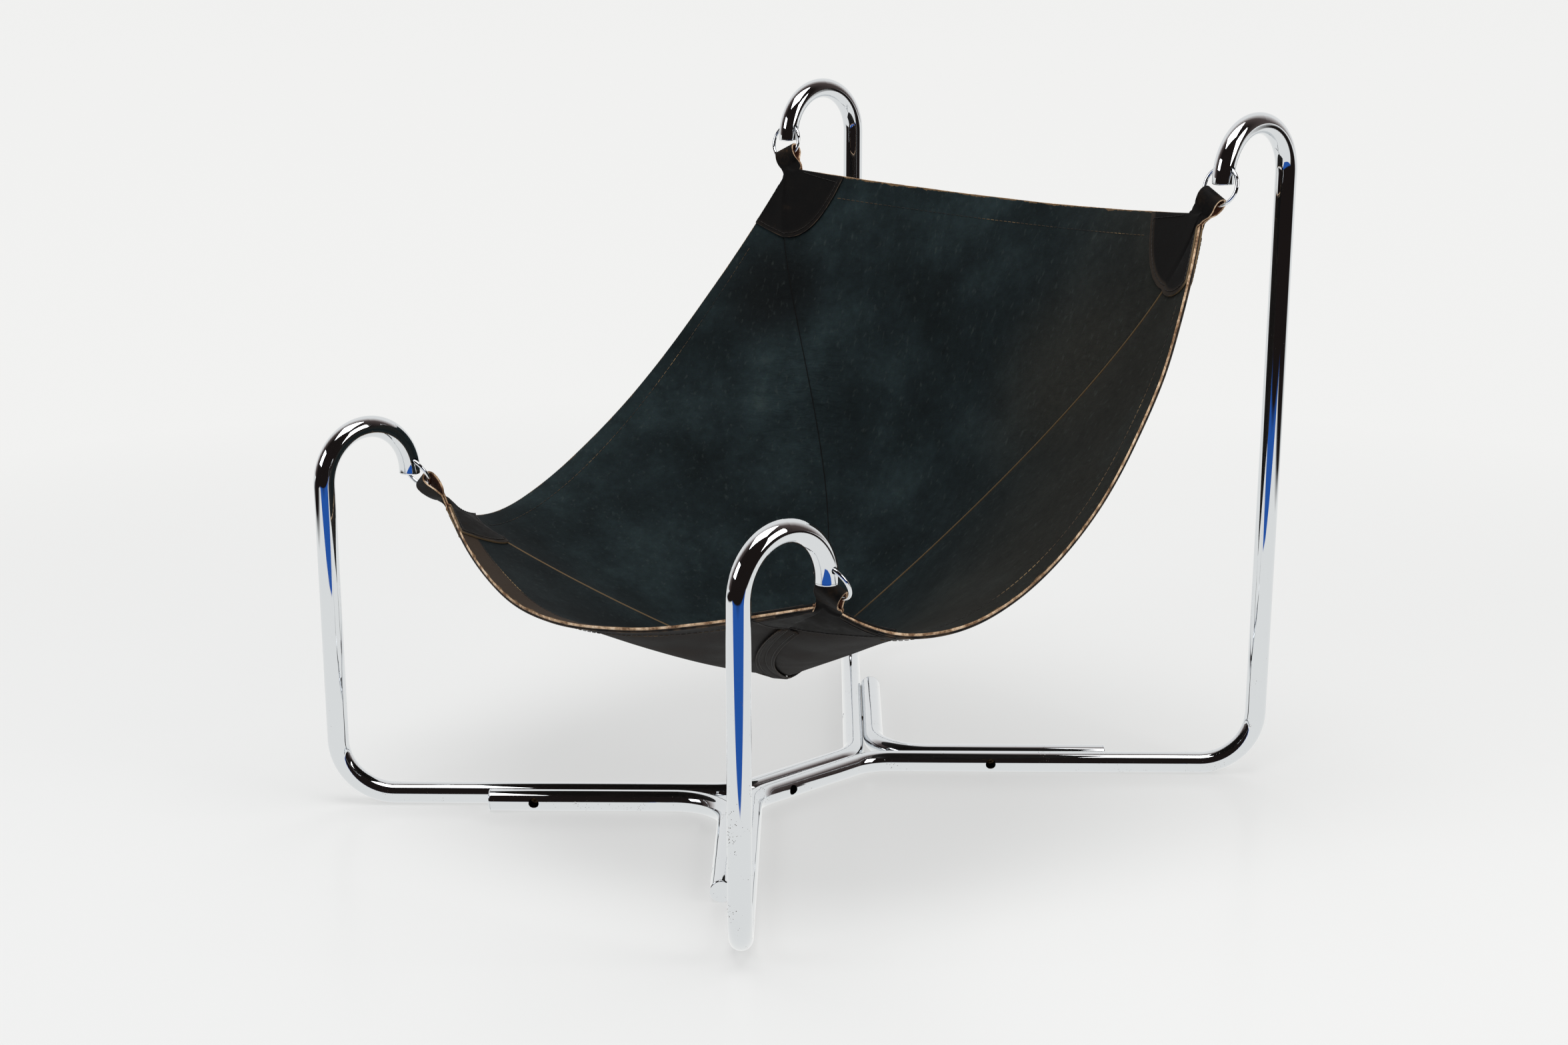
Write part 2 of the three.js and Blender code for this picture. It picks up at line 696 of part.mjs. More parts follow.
for (const [endName, end] of [['front', -1], ['rear', 1]]) {
  const corners = [veePoint(end, 1, veeLeg), veeCorner(end), veePoint(end, -1, veeLeg)];
  const path = new BentPath(corners, [BASE_BEND]);
  addPiece(`${endName}_vee_tube`, cut(tube(path), boltCutters(`${endName}_vee`)), chrome);
  for (const [sideName, side] of [['right', 1], ['left', -1]]) {
    const outward = armDirection(end);
    outward.x *= side;
    addPlug(`vee_plug_${endName}_${sideName}`, veePoint(end, side, veeLeg), outward);
  }
}

// Distance from the axis of a tube at which a round face of this radius meets its bore
function boreSeat(radius) {
  const flat = TUBE_DIAMETER / 2 - TUBE_WALL;
  const nextFlat = (2 * Math.PI) / BORE_SIDES;
  const corner = (flat - radius * Math.sin(nextFlat)) / Math.cos(nextFlat);
  return Math.min(flat, corner) - 2 * FIT_GAP;
}

for (const bolt of bolts) {
  const shank = SCREW_DIAMETER / 2;
  const head = SCREW_HEAD / 2;
  const seat = boreSeat(head);
  const profile = [
    [0, seat - SCREW_HEAD_HEIGHT],
    [head, seat - SCREW_HEAD_HEIGHT],
    [head, seat],
    [shank, seat],
    [shank, seat + SCREW_LENGTH],
    [0, seat + SCREW_LENGTH],
  ];
  const blank = turned(profile, bolt.at, bolt.way, HOLE_SIDES);
  const top = bolt.at.clone().addScaledVector(bolt.way, seat - 2 * SCREW_HEAD_HEIGHT);
  const floor = bolt.at.clone().addScaledVector(bolt.way, seat - SCREW_HEAD_HEIGHT + SCREW_SOCKET_DEPTH);
  const socket = bar(top, floor, SCREW_SOCKET / Math.cos(Math.PI / HEX_SIDES), HEX_SIDES);
  addPiece(`screw_${bolt.name}`, cut(blank, [socket]), screwSteel);
  const nutStart = pitch - boreSeat(NUT_DIAMETER / 2);
  const nutProfile = [
    [shank + SCREW_CLEARANCE, nutStart],
    [NUT_DIAMETER / 2, nutStart],
    [NUT_DIAMETER / 2, nutStart + NUT_HEIGHT],
    [shank + SCREW_CLEARANCE, nutStart + NUT_HEIGHT],
    [shank + SCREW_CLEARANCE, nutStart],
  ];
  addPiece(`nut_${bolt.name}`, turned(nutProfile, bolt.at, bolt.way, HOLE_SIDES), screwSteel);
}

for (const [panelName, panel] of Object.entries(panels)) {
  addPanel(`${panelName}_panel`, panel);
}

// The origin lies on the floor, under the middle of the whole chair
chair.updateMatrixWorld(true);
const middle = new THREE.Box3().setFromObject(chair).getCenter(new THREE.Vector3());
chair.position.y = -middle.y;

export default chair;
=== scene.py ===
import math
from functools import partial
import bpy
from mathutils import Matrix, Vector, noise


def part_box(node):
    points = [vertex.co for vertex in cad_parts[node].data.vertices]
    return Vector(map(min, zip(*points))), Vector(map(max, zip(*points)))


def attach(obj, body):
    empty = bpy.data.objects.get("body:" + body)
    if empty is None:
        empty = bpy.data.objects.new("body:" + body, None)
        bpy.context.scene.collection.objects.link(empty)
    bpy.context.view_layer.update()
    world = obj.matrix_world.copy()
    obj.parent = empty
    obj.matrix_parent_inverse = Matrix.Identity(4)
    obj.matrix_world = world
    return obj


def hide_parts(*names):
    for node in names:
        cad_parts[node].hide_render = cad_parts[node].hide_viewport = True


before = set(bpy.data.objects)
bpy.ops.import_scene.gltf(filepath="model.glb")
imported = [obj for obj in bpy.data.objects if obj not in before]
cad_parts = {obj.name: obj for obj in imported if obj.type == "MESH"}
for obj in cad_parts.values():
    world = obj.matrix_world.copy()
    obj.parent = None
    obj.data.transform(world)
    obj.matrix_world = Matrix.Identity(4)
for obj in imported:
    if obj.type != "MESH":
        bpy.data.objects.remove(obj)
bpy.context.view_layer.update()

scene = bpy.context.scene
ends = ("front", "back")
sides = (("right", 1), ("left", -1))


# Small tools

def useOnly(piece):
    if bpy.context.mode != "OBJECT":
        bpy.ops.object.mode_set(mode="OBJECT")
    bpy.ops.object.select_all(action="DESELECT")
    bpy.context.view_layer.objects.active = piece
    piece.select_set(True)


def addedPiece(name):
    piece = bpy.context.active_object  # what a primitive has just made
    piece.name = name
    piece.data.name = name
    useOnly(piece)
    bpy.ops.object.transform_apply(location=True, rotation=True, scale=True)
    return piece


def applyModifier(piece, kind, **settings):
    useOnly(piece)
    modifier = piece.modifiers.new(kind.lower(), kind)
    for key, value in settings.items():
        setattr(modifier, key, value)
    bpy.ops.object.modifier_apply(modifier=modifier.name)


def smoothShade(piece, degrees):
    useOnly(piece)
    bpy.ops.object.shade_smooth_by_angle(angle=math.radians(degrees))


def editAll(piece, *steps):
    useOnly(piece)
    bpy.ops.object.mode_set(mode="EDIT")
    bpy.ops.mesh.select_all(action="SELECT")
    for step in steps:
        step()
    bpy.ops.object.mode_set(mode="OBJECT")


def faceOutwards():
    bpy.ops.mesh.normals_make_consistent(inside=False)


def pick(piece, kind, chosen):
    # selects some polygons or edges of a piece that is being edited
    bpy.ops.mesh.select_all(action="DESELECT")
    bpy.ops.object.mode_set(mode="OBJECT")
    for part in getattr(piece.data, kind):
        part.select = chosen(part)
    bpy.ops.object.mode_set(mode="EDIT")


def drawOut(way):
    bpy.ops.mesh.extrude_region_move(TRANSFORM_OT_translate={"value": way})


def meshPiece(name, points, faces):
    mesh = bpy.data.meshes.new(name)
    mesh.from_pydata(points, [], faces)
    mesh.update()
    piece = bpy.data.objects.new(name, mesh)
    scene.collection.objects.link(piece)
    return piece


def belongs(piece, body, slotName, *nodes):
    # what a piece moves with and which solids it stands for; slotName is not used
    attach(piece, body)
    for nodeName in nodes:
        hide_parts(nodeName)


def copyPiece(piece, name, matrix):
    twin = piece.copy()
    twin.data = piece.data.copy()  # its own mesh
    twin.name = name
    twin.data.name = name
    scene.collection.objects.link(twin)
    twin.data.transform(matrix)
    if matrix.determinant() < 0:
        editAll(twin, bpy.ops.mesh.flip_normals)
    return twin


def deletePiece(piece):
    bpy.data.objects.remove(piece, do_unlink=True)


def nodeMiddle(nodeName):
    low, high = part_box(nodeName)
    return (low + high) / 2


def smoothStep(value):
    value = min(1.0, max(0.0, value))
    return value * value * (3 - 2 * value)


# Frame layout in millimetres, before the whole chair is centred on the floor
tube = {
    "diameter": 25.0,
    "wall": 2.0,
    "around": 40,            # faces round a tube
    "drillAround": 36,       # faces round a drilled hole
    "shadeAngle": 32,
    "bendStep": 5.0,         # degrees between two rings of faces in a bend
    "shortestRun": 0.01,
    "weld": 0.00001,         # metres within which two vertices of a tube become one
    "centreRun": 196.0,
    "armAngle": 45.0,
    "armLength": 468.0,
    "baseBend": 66.0,
    "legLean": 0.66,
    "frontHeight": 456.0,
    "backHeight": 803.0,
    "hookBend": 60.0,
    "hookSpan": 121.0,
    "hookTail": 2.0,
    "veeLeg": 280.0,
    "fitGap": 0.3,
    "frontBolt": 229.0,
    "rearBolt": 141.0,
    "centreBolt": -42.0,
    "accessHole": 12.0,
    "screwHole": 6.8,
    "ringHole": 7.8,
    "ringSetback": 14.0,
}
axisHeight = tube["diameter"] / 2
pitch = tube["diameter"] + tube["fitGap"]
armAcross = math.sin(math.radians(tube["armAngle"]))
armAlong = math.cos(math.radians(tube["armAngle"]))
# the middle screw shows how far the chair was moved to stand over the origin
centreShift = Vector((0, nodeMiddle("screw_centre").y - tube["centreBolt"] / 1000, 0))


def spot(point):
    return Vector(point) / 1000 + centreShift


def armDirection(end, side=1):
    return Vector((side * armAcross, end * armAlong, 0))


def armCorner(end):
    return Vector((pitch / 2, end * tube["centreRun"] / 2, axisHeight))


def legCorners(end, height):
    lean = math.radians(tube["legLean"])
    up = armDirection(end) * math.sin(lean) + Vector((0, 0, math.cos(lean)))
    foot = armCorner(end) + armDirection(end) * tube["armLength"]
    top = foot + up * ((height - 2 * axisHeight) / up.z)
    far = top - Vector((0, end * tube["hookSpan"], 0))
    down = Vector((-up.x, 0, -up.z)).normalized()
    tail = far + down * (tube["hookBend"] + tube["hookTail"])
    return [tail, far, top, foot, armCorner(end)]


def veeCorner(end):
    slide = (pitch * armAlong - pitch / 2) / armAcross
    reach = tube["centreRun"] / 2 + pitch * armAcross + slide * armAlong
    return Vector((0, end * reach, axisHeight))


def veePoint(end, side, distance):
    return veeCorner(end) + armDirection(end, side) * distance


def veeToArm(end, side):
    return Vector((side * armAlong, -end * armAcross, 0))


# Tubes: a circle is drawn out along each straight run and spun round each bend
def bentTube(name, corners, bends):
    headings = [(b - a).normalized() for a, b in zip(corners, corners[1:])]
    turn = headings[0].to_track_quat("Z", "Y").to_euler()
    bpy.ops.mesh.primitive_circle_add(vertices=tube["around"], location=spot(corners[0]),
                                      radius=tube["diameter"] / 2000, rotation=turn)
    piece = addedPiece(name)
    bpy.ops.object.mode_set(mode="EDIT")
    bpy.ops.mesh.select_all(action="SELECT")
    at = Vector(corners[0])
    for corner, bend, before, after in zip(corners[1:-1], bends, headings, headings[1:]):
        angle = before.angle(after)
        start = corner - before * bend * math.tan(angle / 2)
        if (start - at).length > tube["shortestRun"]:
            drawOut((start - at) / 1000)
        axis = before.cross(after).normalized()
        middle = start + axis.cross(before) * bend
        steps = math.ceil(math.degrees(angle) / tube["bendStep"])
        bpy.ops.mesh.spin(steps=steps, angle=-angle, center=spot(middle), axis=axis)
        at = corner + after * bend * math.tan(angle / 2)
    drawOut((corners[-1] - at) / 1000)
    editAll(piece, partial(bpy.ops.mesh.remove_doubles, threshold=tube["weld"]), faceOutwards)
    applyModifier(piece, "SOLIDIFY", thickness=tube["wall"] / 1000, offset=-1, use_even_offset=True)
    return piece


def drill(piece, middle, way, diameter, length):
    turn = Vector(way).to_track_quat("Z", "Y").to_euler()
    bpy.ops.mesh.primitive_cylinder_add(vertices=tube["drillAround"], radius=diameter / 2000,
                                        depth=length / 1000, location=spot(middle), rotation=turn)
    cutter = addedPiece("drill")
    applyModifier(piece, "BOOLEAN", operation="DIFFERENCE", solver="EXACT", object=cutter)
    deletePiece(cutter)


def drillBolt(headTube, nutTube, at, way):
    # from the axis of the tube with the head: the access hole, then the screw's hole in both tubes
    drill(headTube, at - way * pitch / 2, way, tube["accessHole"], pitch)
    drill(headTube, at + way * pitch / 4, way, tube["screwHole"], pitch / 2)
    drill(nutTube, at + way * pitch * 3 / 4, way, tube["screwHole"], pitch / 2)


def ringHoleAt(endName, side):
    # the place on a hook's arc at a distance before its open end
    corners, bend = sideCorners[endName], tube["hookBend"]
    heading = (corners[1] - corners[0]).normalized()
    after = (corners[2] - corners[1]).normalized()
    angle = heading.angle(after)
    start = corners[1] - heading * bend * math.tan(angle / 2)
    inward = (after - heading * math.cos(angle)).normalized()
    swept = (tube["ringSetback"] - tube["hookTail"]) / bend
    hole = start + heading * bend * math.sin(swept) + inward * bend * (1 - math.cos(swept))
    return hole * Vector((side, 1, 1))


bendRadii = [tube["hookBend"]] * 2 + [tube["baseBend"]] * 4 + [tube["hookBend"]] * 2
sideCorners = {
    "front": legCorners(-1, tube["frontHeight"]),
    "back": legCorners(1, tube["backHeight"]),
}
wholePath = sideCorners["front"] + sideCorners["back"][::-1]
rightTube = bentTube("rightTubeSmooth", wholePath, bendRadii)
leftTube = copyPiece(rightTube, "leftTubeSmooth", Matrix.Scale(-1, 4, Vector((1, 0, 0))))
veeTubes = {}
for endName, end in (("front", -1), ("rear", 1)):
    corners = [veePoint(end, 1, tube["veeLeg"]), veeCorner(end), veePoint(end, -1, tube["veeLeg"])]
    veeTubes[endName] = bentTube(endName + "VeeSmooth", corners, [tube["baseBend"]])
print("tubes bent")

sideTubes = {"right": rightTube, "left": leftTube}
for sideName, side in sides:
    frontAt = veePoint(-1, side, tube["frontBolt"])
    drillBolt(veeTubes["front"], sideTubes[sideName], frontAt, veeToArm(-1, side))
    rearWay = -veeToArm(1, side)
    rearAt = veePoint(1, side, tube["rearBolt"]) - rearWay * pitch
    drillBolt(sideTubes[sideName], veeTubes["rear"], rearAt, rearWay)
    for endName in ends:
        drill(sideTubes[sideName], ringHoleAt(endName, side), (1, 0, 0), tube["ringHole"], 2 * pitch)
drillBolt(rightTube, leftTube, Vector((pitch / 2, tube["centreBolt"], axisHeight)), Vector((-1, 0, 0)))
chromePieces = [rightTube, leftTube, *veeTubes.values()]
for piece in chromePieces:
    smoothShade(piece, tube["shadeAngle"])
print("tubes drilled")

# End plugs: a domed cap with a spigot that sits in the bore
plug = {"rim": 2.0, "round": 1.3, "roundSteps": 5, "spigot": 3.0, "spigotRadius": 10.2, "shadeAngle": 40}
plugFoot = tube["fitGap"] / 1000
bpy.ops.mesh.primitive_cylinder_add(vertices=tube["around"], radius=tube["diameter"] / 2000,
                                    depth=plug["rim"] / 1000, location=(0, 0, plugFoot + plug["rim"] / 2000))
plugModel = addedPiece("plugModel")
plugTop = plugFoot + plug["rim"] / 1000
bpy.ops.object.mode_set(mode="EDIT")
bpy.ops.mesh.select_mode(type="FACE")
pick(plugModel, "polygons", lambda face: face.normal.z < -0.9)  # its underside
bpy.ops.mesh.inset(thickness=tube["diameter"] / 2000 - plug["spigotRadius"] / 1000, depth=0)
drawOut((0, 0, -(plug["spigot"] / 1000 + plugFoot)))
pick(plugModel, "edges",  # the edge of its top
     lambda edge: min(plugModel.data.vertices[k].co.z for k in edge.vertices) > plugTop - 0.0001)
bpy.ops.mesh.bevel(offset=plug["round"] / 1000, segments=plug["roundSteps"], affect="EDGES")
editAll(plugModel, faceOutwards)
smoothShade(plugModel, plug["shadeAngle"])


def setPlug(nodeName, tip, outward):
    turn = Vector(outward).to_track_quat("Z", "Y").to_matrix().to_4x4()
    cap = copyPiece(plugModel, nodeName + "_cap", Matrix.Translation(spot(tip)) @ turn)
    belongs(cap, "chair", "chromed_steel", nodeName)
    return cap


for sideName, side in sides:
    mirror = Vector((side, 1, 1))
    for endName in ends:
        corners = sideCorners[endName]
        outward = (corners[0] - corners[1]).normalized()
        chromePieces.append(setPlug(f"hook_plug_{endName}_{sideName}", corners[0] * mirror, outward * mirror))
    for endName, end in (("front", -1), ("rear", 1)):
        tip = veePoint(end, side, tube["veeLeg"])
        chromePieces.append(setPlug(f"vee_plug_{endName}_{sideName}", tip, armDirection(end, side)))
deletePiece(plugModel)
for sideName, piece in sideTubes.items():
    belongs(piece, "chair", "chromed_steel", sideName + "_side_tube")
for endName, piece in veeTubes.items():
    belongs(piece, "chair", "chromed_steel", endName + "_vee_tube")
print("plugs set")

# Hanging rings: bent wire with the bead where its ends were welded
ring = {
    "diameter": 44.0,
    "wire": 4.5,
    "around": 64,
    "section": 16,
    "bead": 1.22,            # the bead's thickness over the wire's
    "beadLength": 3.4,
    "beadAngle": 2.2,        # radians round the ring
    "shadeAngle": 60,
}
ringRadius = ring["diameter"] / 2000
bpy.ops.mesh.primitive_torus_add(major_radius=ringRadius, minor_radius=ring["wire"] / 2000,
                                 major_segments=ring["around"], minor_segments=ring["section"])
ringModel = addedPiece("ringModel")
beadAt = Vector((ringRadius * math.cos(ring["beadAngle"]), ringRadius * math.sin(ring["beadAngle"]), 0))
for vertex in ringModel.data.vertices:
    onWire = Vector((vertex.co.x, vertex.co.y, 0)).normalized() * ring["diameter"] / 2000
    near = (onWire - beadAt).length * 1000 / ring["beadLength"]
    if near < 1:
        vertex.co = onWire + (vertex.co - onWire) * (1 + (ring["bead"] - 1) * smoothStep(1 - near))
smoothShade(ringModel, ring["shadeAngle"])
ringPlaces = {}
for sideName, side in sides:
    for endName in ends:
        nodeName = f"ring_{endName}_{sideName}"
        centre = nodeMiddle(nodeName)
        hole = spot(ringHoleAt(endName, side))
        hang = Vector((0, centre.y - hole.y, centre.z - hole.z)).normalized()
        axis = Vector((1, 0, 0))
        faceWay = axis.cross(hang)
        turn = Matrix((axis, faceWay.cross(axis), faceWay)).transposed().to_4x4()
        wire = copyPiece(ringModel, nodeName + "_wire", Matrix.Translation(centre) @ turn)
        belongs(wire, nodeName, "chromed_steel", nodeName)
        chromePieces.append(wire)
        ringPlaces[f"{endName}_{sideName}"] = {"centre": centre, "face": faceWay}
deletePiece(ringModel)
print("rings hung")

# Sling: four panels between cubic edges and seams, in the same places as their solids
sling = {
    "leather": 4.0,
    "shadeAngle": 50,
    "backCorner": (332, 300, 692),
    "frontCorner": (318, -281, 345),
    "seatLow": (0, -28, 147),
    "backEdgeHandle": (67, 370, 671),
    "frontEdgeHandle": (46, -418, 265),
    "sideEdgeRearHandle": (408, 151, 430),
    "sideEdgeFrontHandle": (421, -123, 209),
    "backSeamHighHandle": (346, 245, 572),
    "backSeamLowHandle": (24, 183, 247),
    "frontSeamHighHandle": (279, -292, 328),
    "frontSeamLowHandle": (71, -179, 217),
    "columns": 120,
    "rows": 96,
    "tip": 0.996,
    "seamRounding": 25.0,
    "lapUnder": 0.8,         # how far the lower leather of a lapped seam lies down
    "lapOver": 0.4,          # how far the upper leather of a lapped seam stands up
    "lapWidth": 15.0,
    "lapFade": 6,            # the laps die out over the last sixth of a seam
    "margin": 0.15,          # how far a panel stops short of a seam
    "marginShare": 0.02,     # the most of a panel's width that this may take
    "waveHeight": 1.6,       # slow unevenness of the hide
    "waveLength": 150.0,
    "calmSeam": 60.0,        # the hide grows even towards a seam and towards the free edge
    "calmEdge": 40.0,
    "calmCorner": 110.0,     # the flutter and the hem end towards the corners
    "edgeWave": 2.2,         # flutter of the free edges
    "edgeWaveLength": 95.0,
    "edgeWaveStart": (7, 3, 1),
    "edgeWaveReach": 34.0,
    "hemGap": 30.0,          # free edge to the hem stitching
    "hemDent": 0.5,          # how far the stitching draws the leather in
    "hemDentWidth": 2.6,
    # flat cut in metres and square metres: along the free edge, from it to the seat, area
    "flat": {"back": (0.675, 0.664, 0.2214), "left": (0.771, 0.454, 0.1901),
             "front": (0.687, 0.380, 0.1073), "right": (0.771, 0.454, 0.1901)},
}


def slingPoint(name, cornerName):
    x, y, z = sling[name]
    return Vector((-x if cornerName.endswith("left") else x, y, z))


def cubic(points, t):
    a, b, c, d = points
    s = 1 - t
    return a * (s * s * s) + b * (3 * s * s * t) + c * (3 * s * t * t) + d * (t * t * t)


# corner: the panels before and after its seam
neighbours = {
    "back_right": ("right", "back"),
    "back_left": ("back", "left"),
    "front_left": ("left", "front"),
    "front_right": ("front", "right"),
}
# panel: the corners it runs between, its edge handles, and whether its leather lies on top at each seam
panels = {
    "back": ("back_right", "back_left", "backEdgeHandle", "backEdgeHandle", True, True),
    "left": ("back_left", "front_left", "sideEdgeRearHandle", "sideEdgeFrontHandle", False, True),
    "front": ("front_left", "front_right", "frontEdgeHandle", "frontEdgeHandle", False, False),
    "right": ("front_right", "back_right", "sideEdgeFrontHandle", "sideEdgeRearHandle", True, False),
}
slingCorners, seams, edgeCurves = {}, {}, {}
for cornerName in neighbours:
    endName = cornerName.split("_")[0]
    corner, high, low = (slingPoint(endName + kind, cornerName)
                         for kind in ("Corner", "SeamHighHandle", "SeamLowHandle"))
    slingCorners[cornerName] = corner
    seams[cornerName] = (corner, high, low, Vector(sling["seatLow"]))
for panelName, (fromName, toName, fromHandle, toHandle, _, _) in panels.items():
    edgeCurves[panelName] = (slingCorners[fromName], slingPoint(fromHandle, fromName),
                             slingPoint(toHandle, toName), slingCorners[toName])
seamNormals = {}


def barePoint(panelName, u, v):
    fromName, toName = panels[panelName][:2]
    fromCorner, toCorner = slingCorners[fromName], slingCorners[toName]
    point = cubic(edgeCurves[panelName], u) * (1 - v)
    point += cubic(seams[fromName], v) * (1 - u) + cubic(seams[toName], v) * u
    return point - fromCorner * ((1 - u) * (1 - v)) - toCorner * (u * (1 - v))


def plainNormal(panelName, u, v):
    step, deepest = 0.01, 0.985
    inside = min(1 - step, max(step, u))
    depth = min(deepest, max(0.0, v))
    across = barePoint(panelName, inside + step, depth) - barePoint(panelName, inside - step, depth)
    down = barePoint(panelName, inside, depth + step) - barePoint(panelName, inside, depth - step)
    return down.cross(across).normalized()


def seamNormal(cornerName, v):
    key = (cornerName, round(v, 5))
    if key not in seamNormals:
        before, after = neighbours[cornerName]
        seamNormals[key] = (plainNormal(before, 1, v) + plainNormal(after, 0, v)).normalized()
    return seamNormals[key]


# A place on the sling in millimetres: its middle, the way out from the sitter, and its distance
# from the free edge and from the nearest seam
def slingPlace(panelName, u, v):
    fromName, toName, _, _, overFrom, overTo = panels[panelName]
    point = barePoint(panelName, u, v)
    fromGap = (point - cubic(seams[fromName], v)).length
    toGap = (point - cubic(seams[toName], v)).length
    edgeGap = (point - barePoint(panelName, u, 0)).length
    seamGap = min(fromGap, toGap)
    rounding = sling["seamRounding"]
    nearFrom = max(0.0, 1 - fromGap / rounding)
    nearTo = max(0.0, 1 - toGap / rounding)
    share = max(1.0, nearFrom + nearTo)
    normal = plainNormal(panelName, u, v) * (1 - (nearFrom + nearTo) / share)
    if nearFrom:
        normal += seamNormal(fromName, v) * (nearFrom / share)
    if nearTo:
        normal += seamNormal(toName, v) * (nearTo / share)
    normal.normalize()
    lift = 0.0
    for gap, over in ((fromGap, overFrom), (toGap, overTo)):
        near = smoothStep(1 - gap / sling["lapWidth"])
        near *= smoothStep((1 - v) * sling["lapFade"])
        lift += near * (-sling["lapOver"] if over else sling["lapUnder"])
    calm = smoothStep(seamGap / sling["calmSeam"]) * smoothStep(edgeGap / sling["calmEdge"])
    lift += sling["waveHeight"] * noise.noise(point / sling["waveLength"]) * calm
    cornerCalm = smoothStep(seamGap / sling["calmCorner"])
    flutter = math.exp(-edgeGap / sling["edgeWaveReach"]) * cornerCalm
    along = point / sling["edgeWaveLength"] + Vector(sling["edgeWaveStart"])
    lift += sling["edgeWave"] * noise.noise(along) * flutter
    dent = (edgeGap - sling["hemGap"]) / sling["hemDentWidth"]
    lift += sling["hemDent"] * math.exp(-dent * dent) * cornerCalm
    return point + normal * lift, normal, edgeGap, seamGap


# A sheet of leather from a grid of places. Its cut edge is rounded and has five bands, and bandMaterials
# says which of the piece's materials each band takes
def leatherSheet(name, grid, thickness, bandMaterials, values=()):
    rows, columns = len(grid), len(grid[0])
    half = thickness / 2
    rounded, levels = 0.6, [-0.72, -0.1, 0.3, 0.72]  # of the cut edge, in millimetres and in half thicknesses
    inset = min(rounded, half / 2)
    rim = [(i, 0) for i in range(rows - 1)] + [(rows - 1, j) for j in range(columns - 1)]
    rim += [(i, columns - 1) for i in range(rows - 1, 0, -1)] + [(0, j) for j in range(columns - 1, 0, -1)]
    outwards = {}
    for k, (i, j) in enumerate(rim):
        before, after = rim[k - 1], rim[(k + 1) % len(rim)]
        along = grid[after[0]][after[1]][0] - grid[before[0]][before[1]][0]
        outwards[(i, j)] = along.cross(grid[i][j][1]).normalized()
    middle = grid[rows // 2][columns // 2][0]
    check = sum((grid[i][j][0] - middle).dot(way) for (i, j), way in outwards.items())
    if check < 0:
        outwards = {key: -way for key, way in outwards.items()}
    places, marks = [], []
    for layer in (-half, half):
        for i in range(rows):
            for j in range(columns):
                point, normal = grid[i][j][:2]
                held = point - outwards[(i, j)] * inset if (i, j) in outwards else point
                places.append(held + normal * layer)
                marks.append(grid[i][j][2:])
    rimStart = len(places)
    for level in levels:
        for i, j in rim:
            point, normal = grid[i][j][:2]
            places.append(point + normal * (half * level))
            marks.append(grid[i][j][2:])
    faces, kinds = [], []
    for i in range(rows - 1):
        for j in range(columns - 1):
            a = i * columns + j
            b, c, d, upper = a + columns, a + columns + 1, a + 1, rows * columns
            faces += [(a, d, c, b), (upper + a, upper + b, upper + c, upper + d)]
            kinds += [0, 1]
    loops = [[i * columns + j for i, j in rim]]
    loops += [[rimStart + k * len(rim) + n for n in range(len(rim))] for k in range(len(levels))]
    loops += [[rows * columns + i * columns + j for i, j in rim]]
    for band, (lower, upper) in enumerate(zip(loops, loops[1:])):
        for n in range(len(rim)):
            m = (n + 1) % len(rim)
            faces.append((lower[n], lower[m], upper[m], upper[n]))
            kinds.append(bandMaterials[band])
    piece = meshPiece(name, [spot(p) for p in places], faces)
    piece.data.polygons.foreach_set("material_index", kinds)
    for k, valueName in enumerate(values):
        attribute = piece.data.attributes.new(valueName, "FLOAT", "POINT")
        attribute.data.foreach_set("value", [mark[k] for mark in marks])
    editAll(piece, faceOutwards)
    smoothShade(piece, sling["shadeAngle"])
    return piece


def sheetGrid(rows, columns, placeAt):
    # places for shares of the way down and across a sheet
    return [[placeAt(i / rows, j / columns) for j in range(columns + 1)] for i in range(rows + 1)]


def panelPlace(panelName, down, across):
    fromName, toName = panels[panelName][:2]
    v = sling["tip"] * down
    width = max(1.0, (cubic(seams[toName], v) - cubic(seams[fromName], v)).length)
    margin = min(sling["marginShare"], sling["margin"] / width)
    return slingPlace(panelName, margin + (1 - 2 * margin) * across, v)


panelPieces = {}
for panelName in panels:
    grid = sheetGrid(sling["rows"], sling["columns"], partial(panelPlace, panelName))
    panelPieces[panelName] = leatherSheet(panelName + "PanelLeather", grid, sling["leather"],
                                          [2, 2, 2, 3, 3], ("edgeGap", "seamGap"))
    print("panel cut:", panelName)

# Facings: a strip under each free edge that doubles the leather out to the hem stitching
facing = {
    "leather": 1.6, "width": 34.0, "gap": 0.25, "columns": 110, "rows": 5, "endGap": 62.0,
    "flat": {"back": (0.555, 0.034, 0.0187), "left": (0.652, 0.034, 0.0153),
             "front": (0.567, 0.034, 0.0155), "right": (0.652, 0.034, 0.0153)},
}


def runLengths(points):
    lengths = [0.0]
    for a, b in zip(points, points[1:]):
        lengths.append(lengths[-1] + (b - a).length)
    return lengths


def edgeWalk(panelName, gap):
    # share of a panel's width that a distance from each of its corners takes, along the free edge
    steps = 200
    lengths = runLengths([barePoint(panelName, k / steps, 0) for k in range(steps + 1)])
    first = next(k for k, length in enumerate(lengths) if length >= gap) / steps
    last = next(k for k, length in enumerate(lengths) if length >= lengths[-1] - gap) / steps
    return first, last


def depthAt(panelName, u, gap):
    # how far down the panel a distance from its free edge lies
    low, high, halvings = 0.0, 0.6, 22
    edge = barePoint(panelName, u, 0)
    for _ in range(halvings):
        middle = (low + high) / 2
        if (barePoint(panelName, u, middle) - edge).length < gap:
            low = middle
        else:
            high = middle
    return low


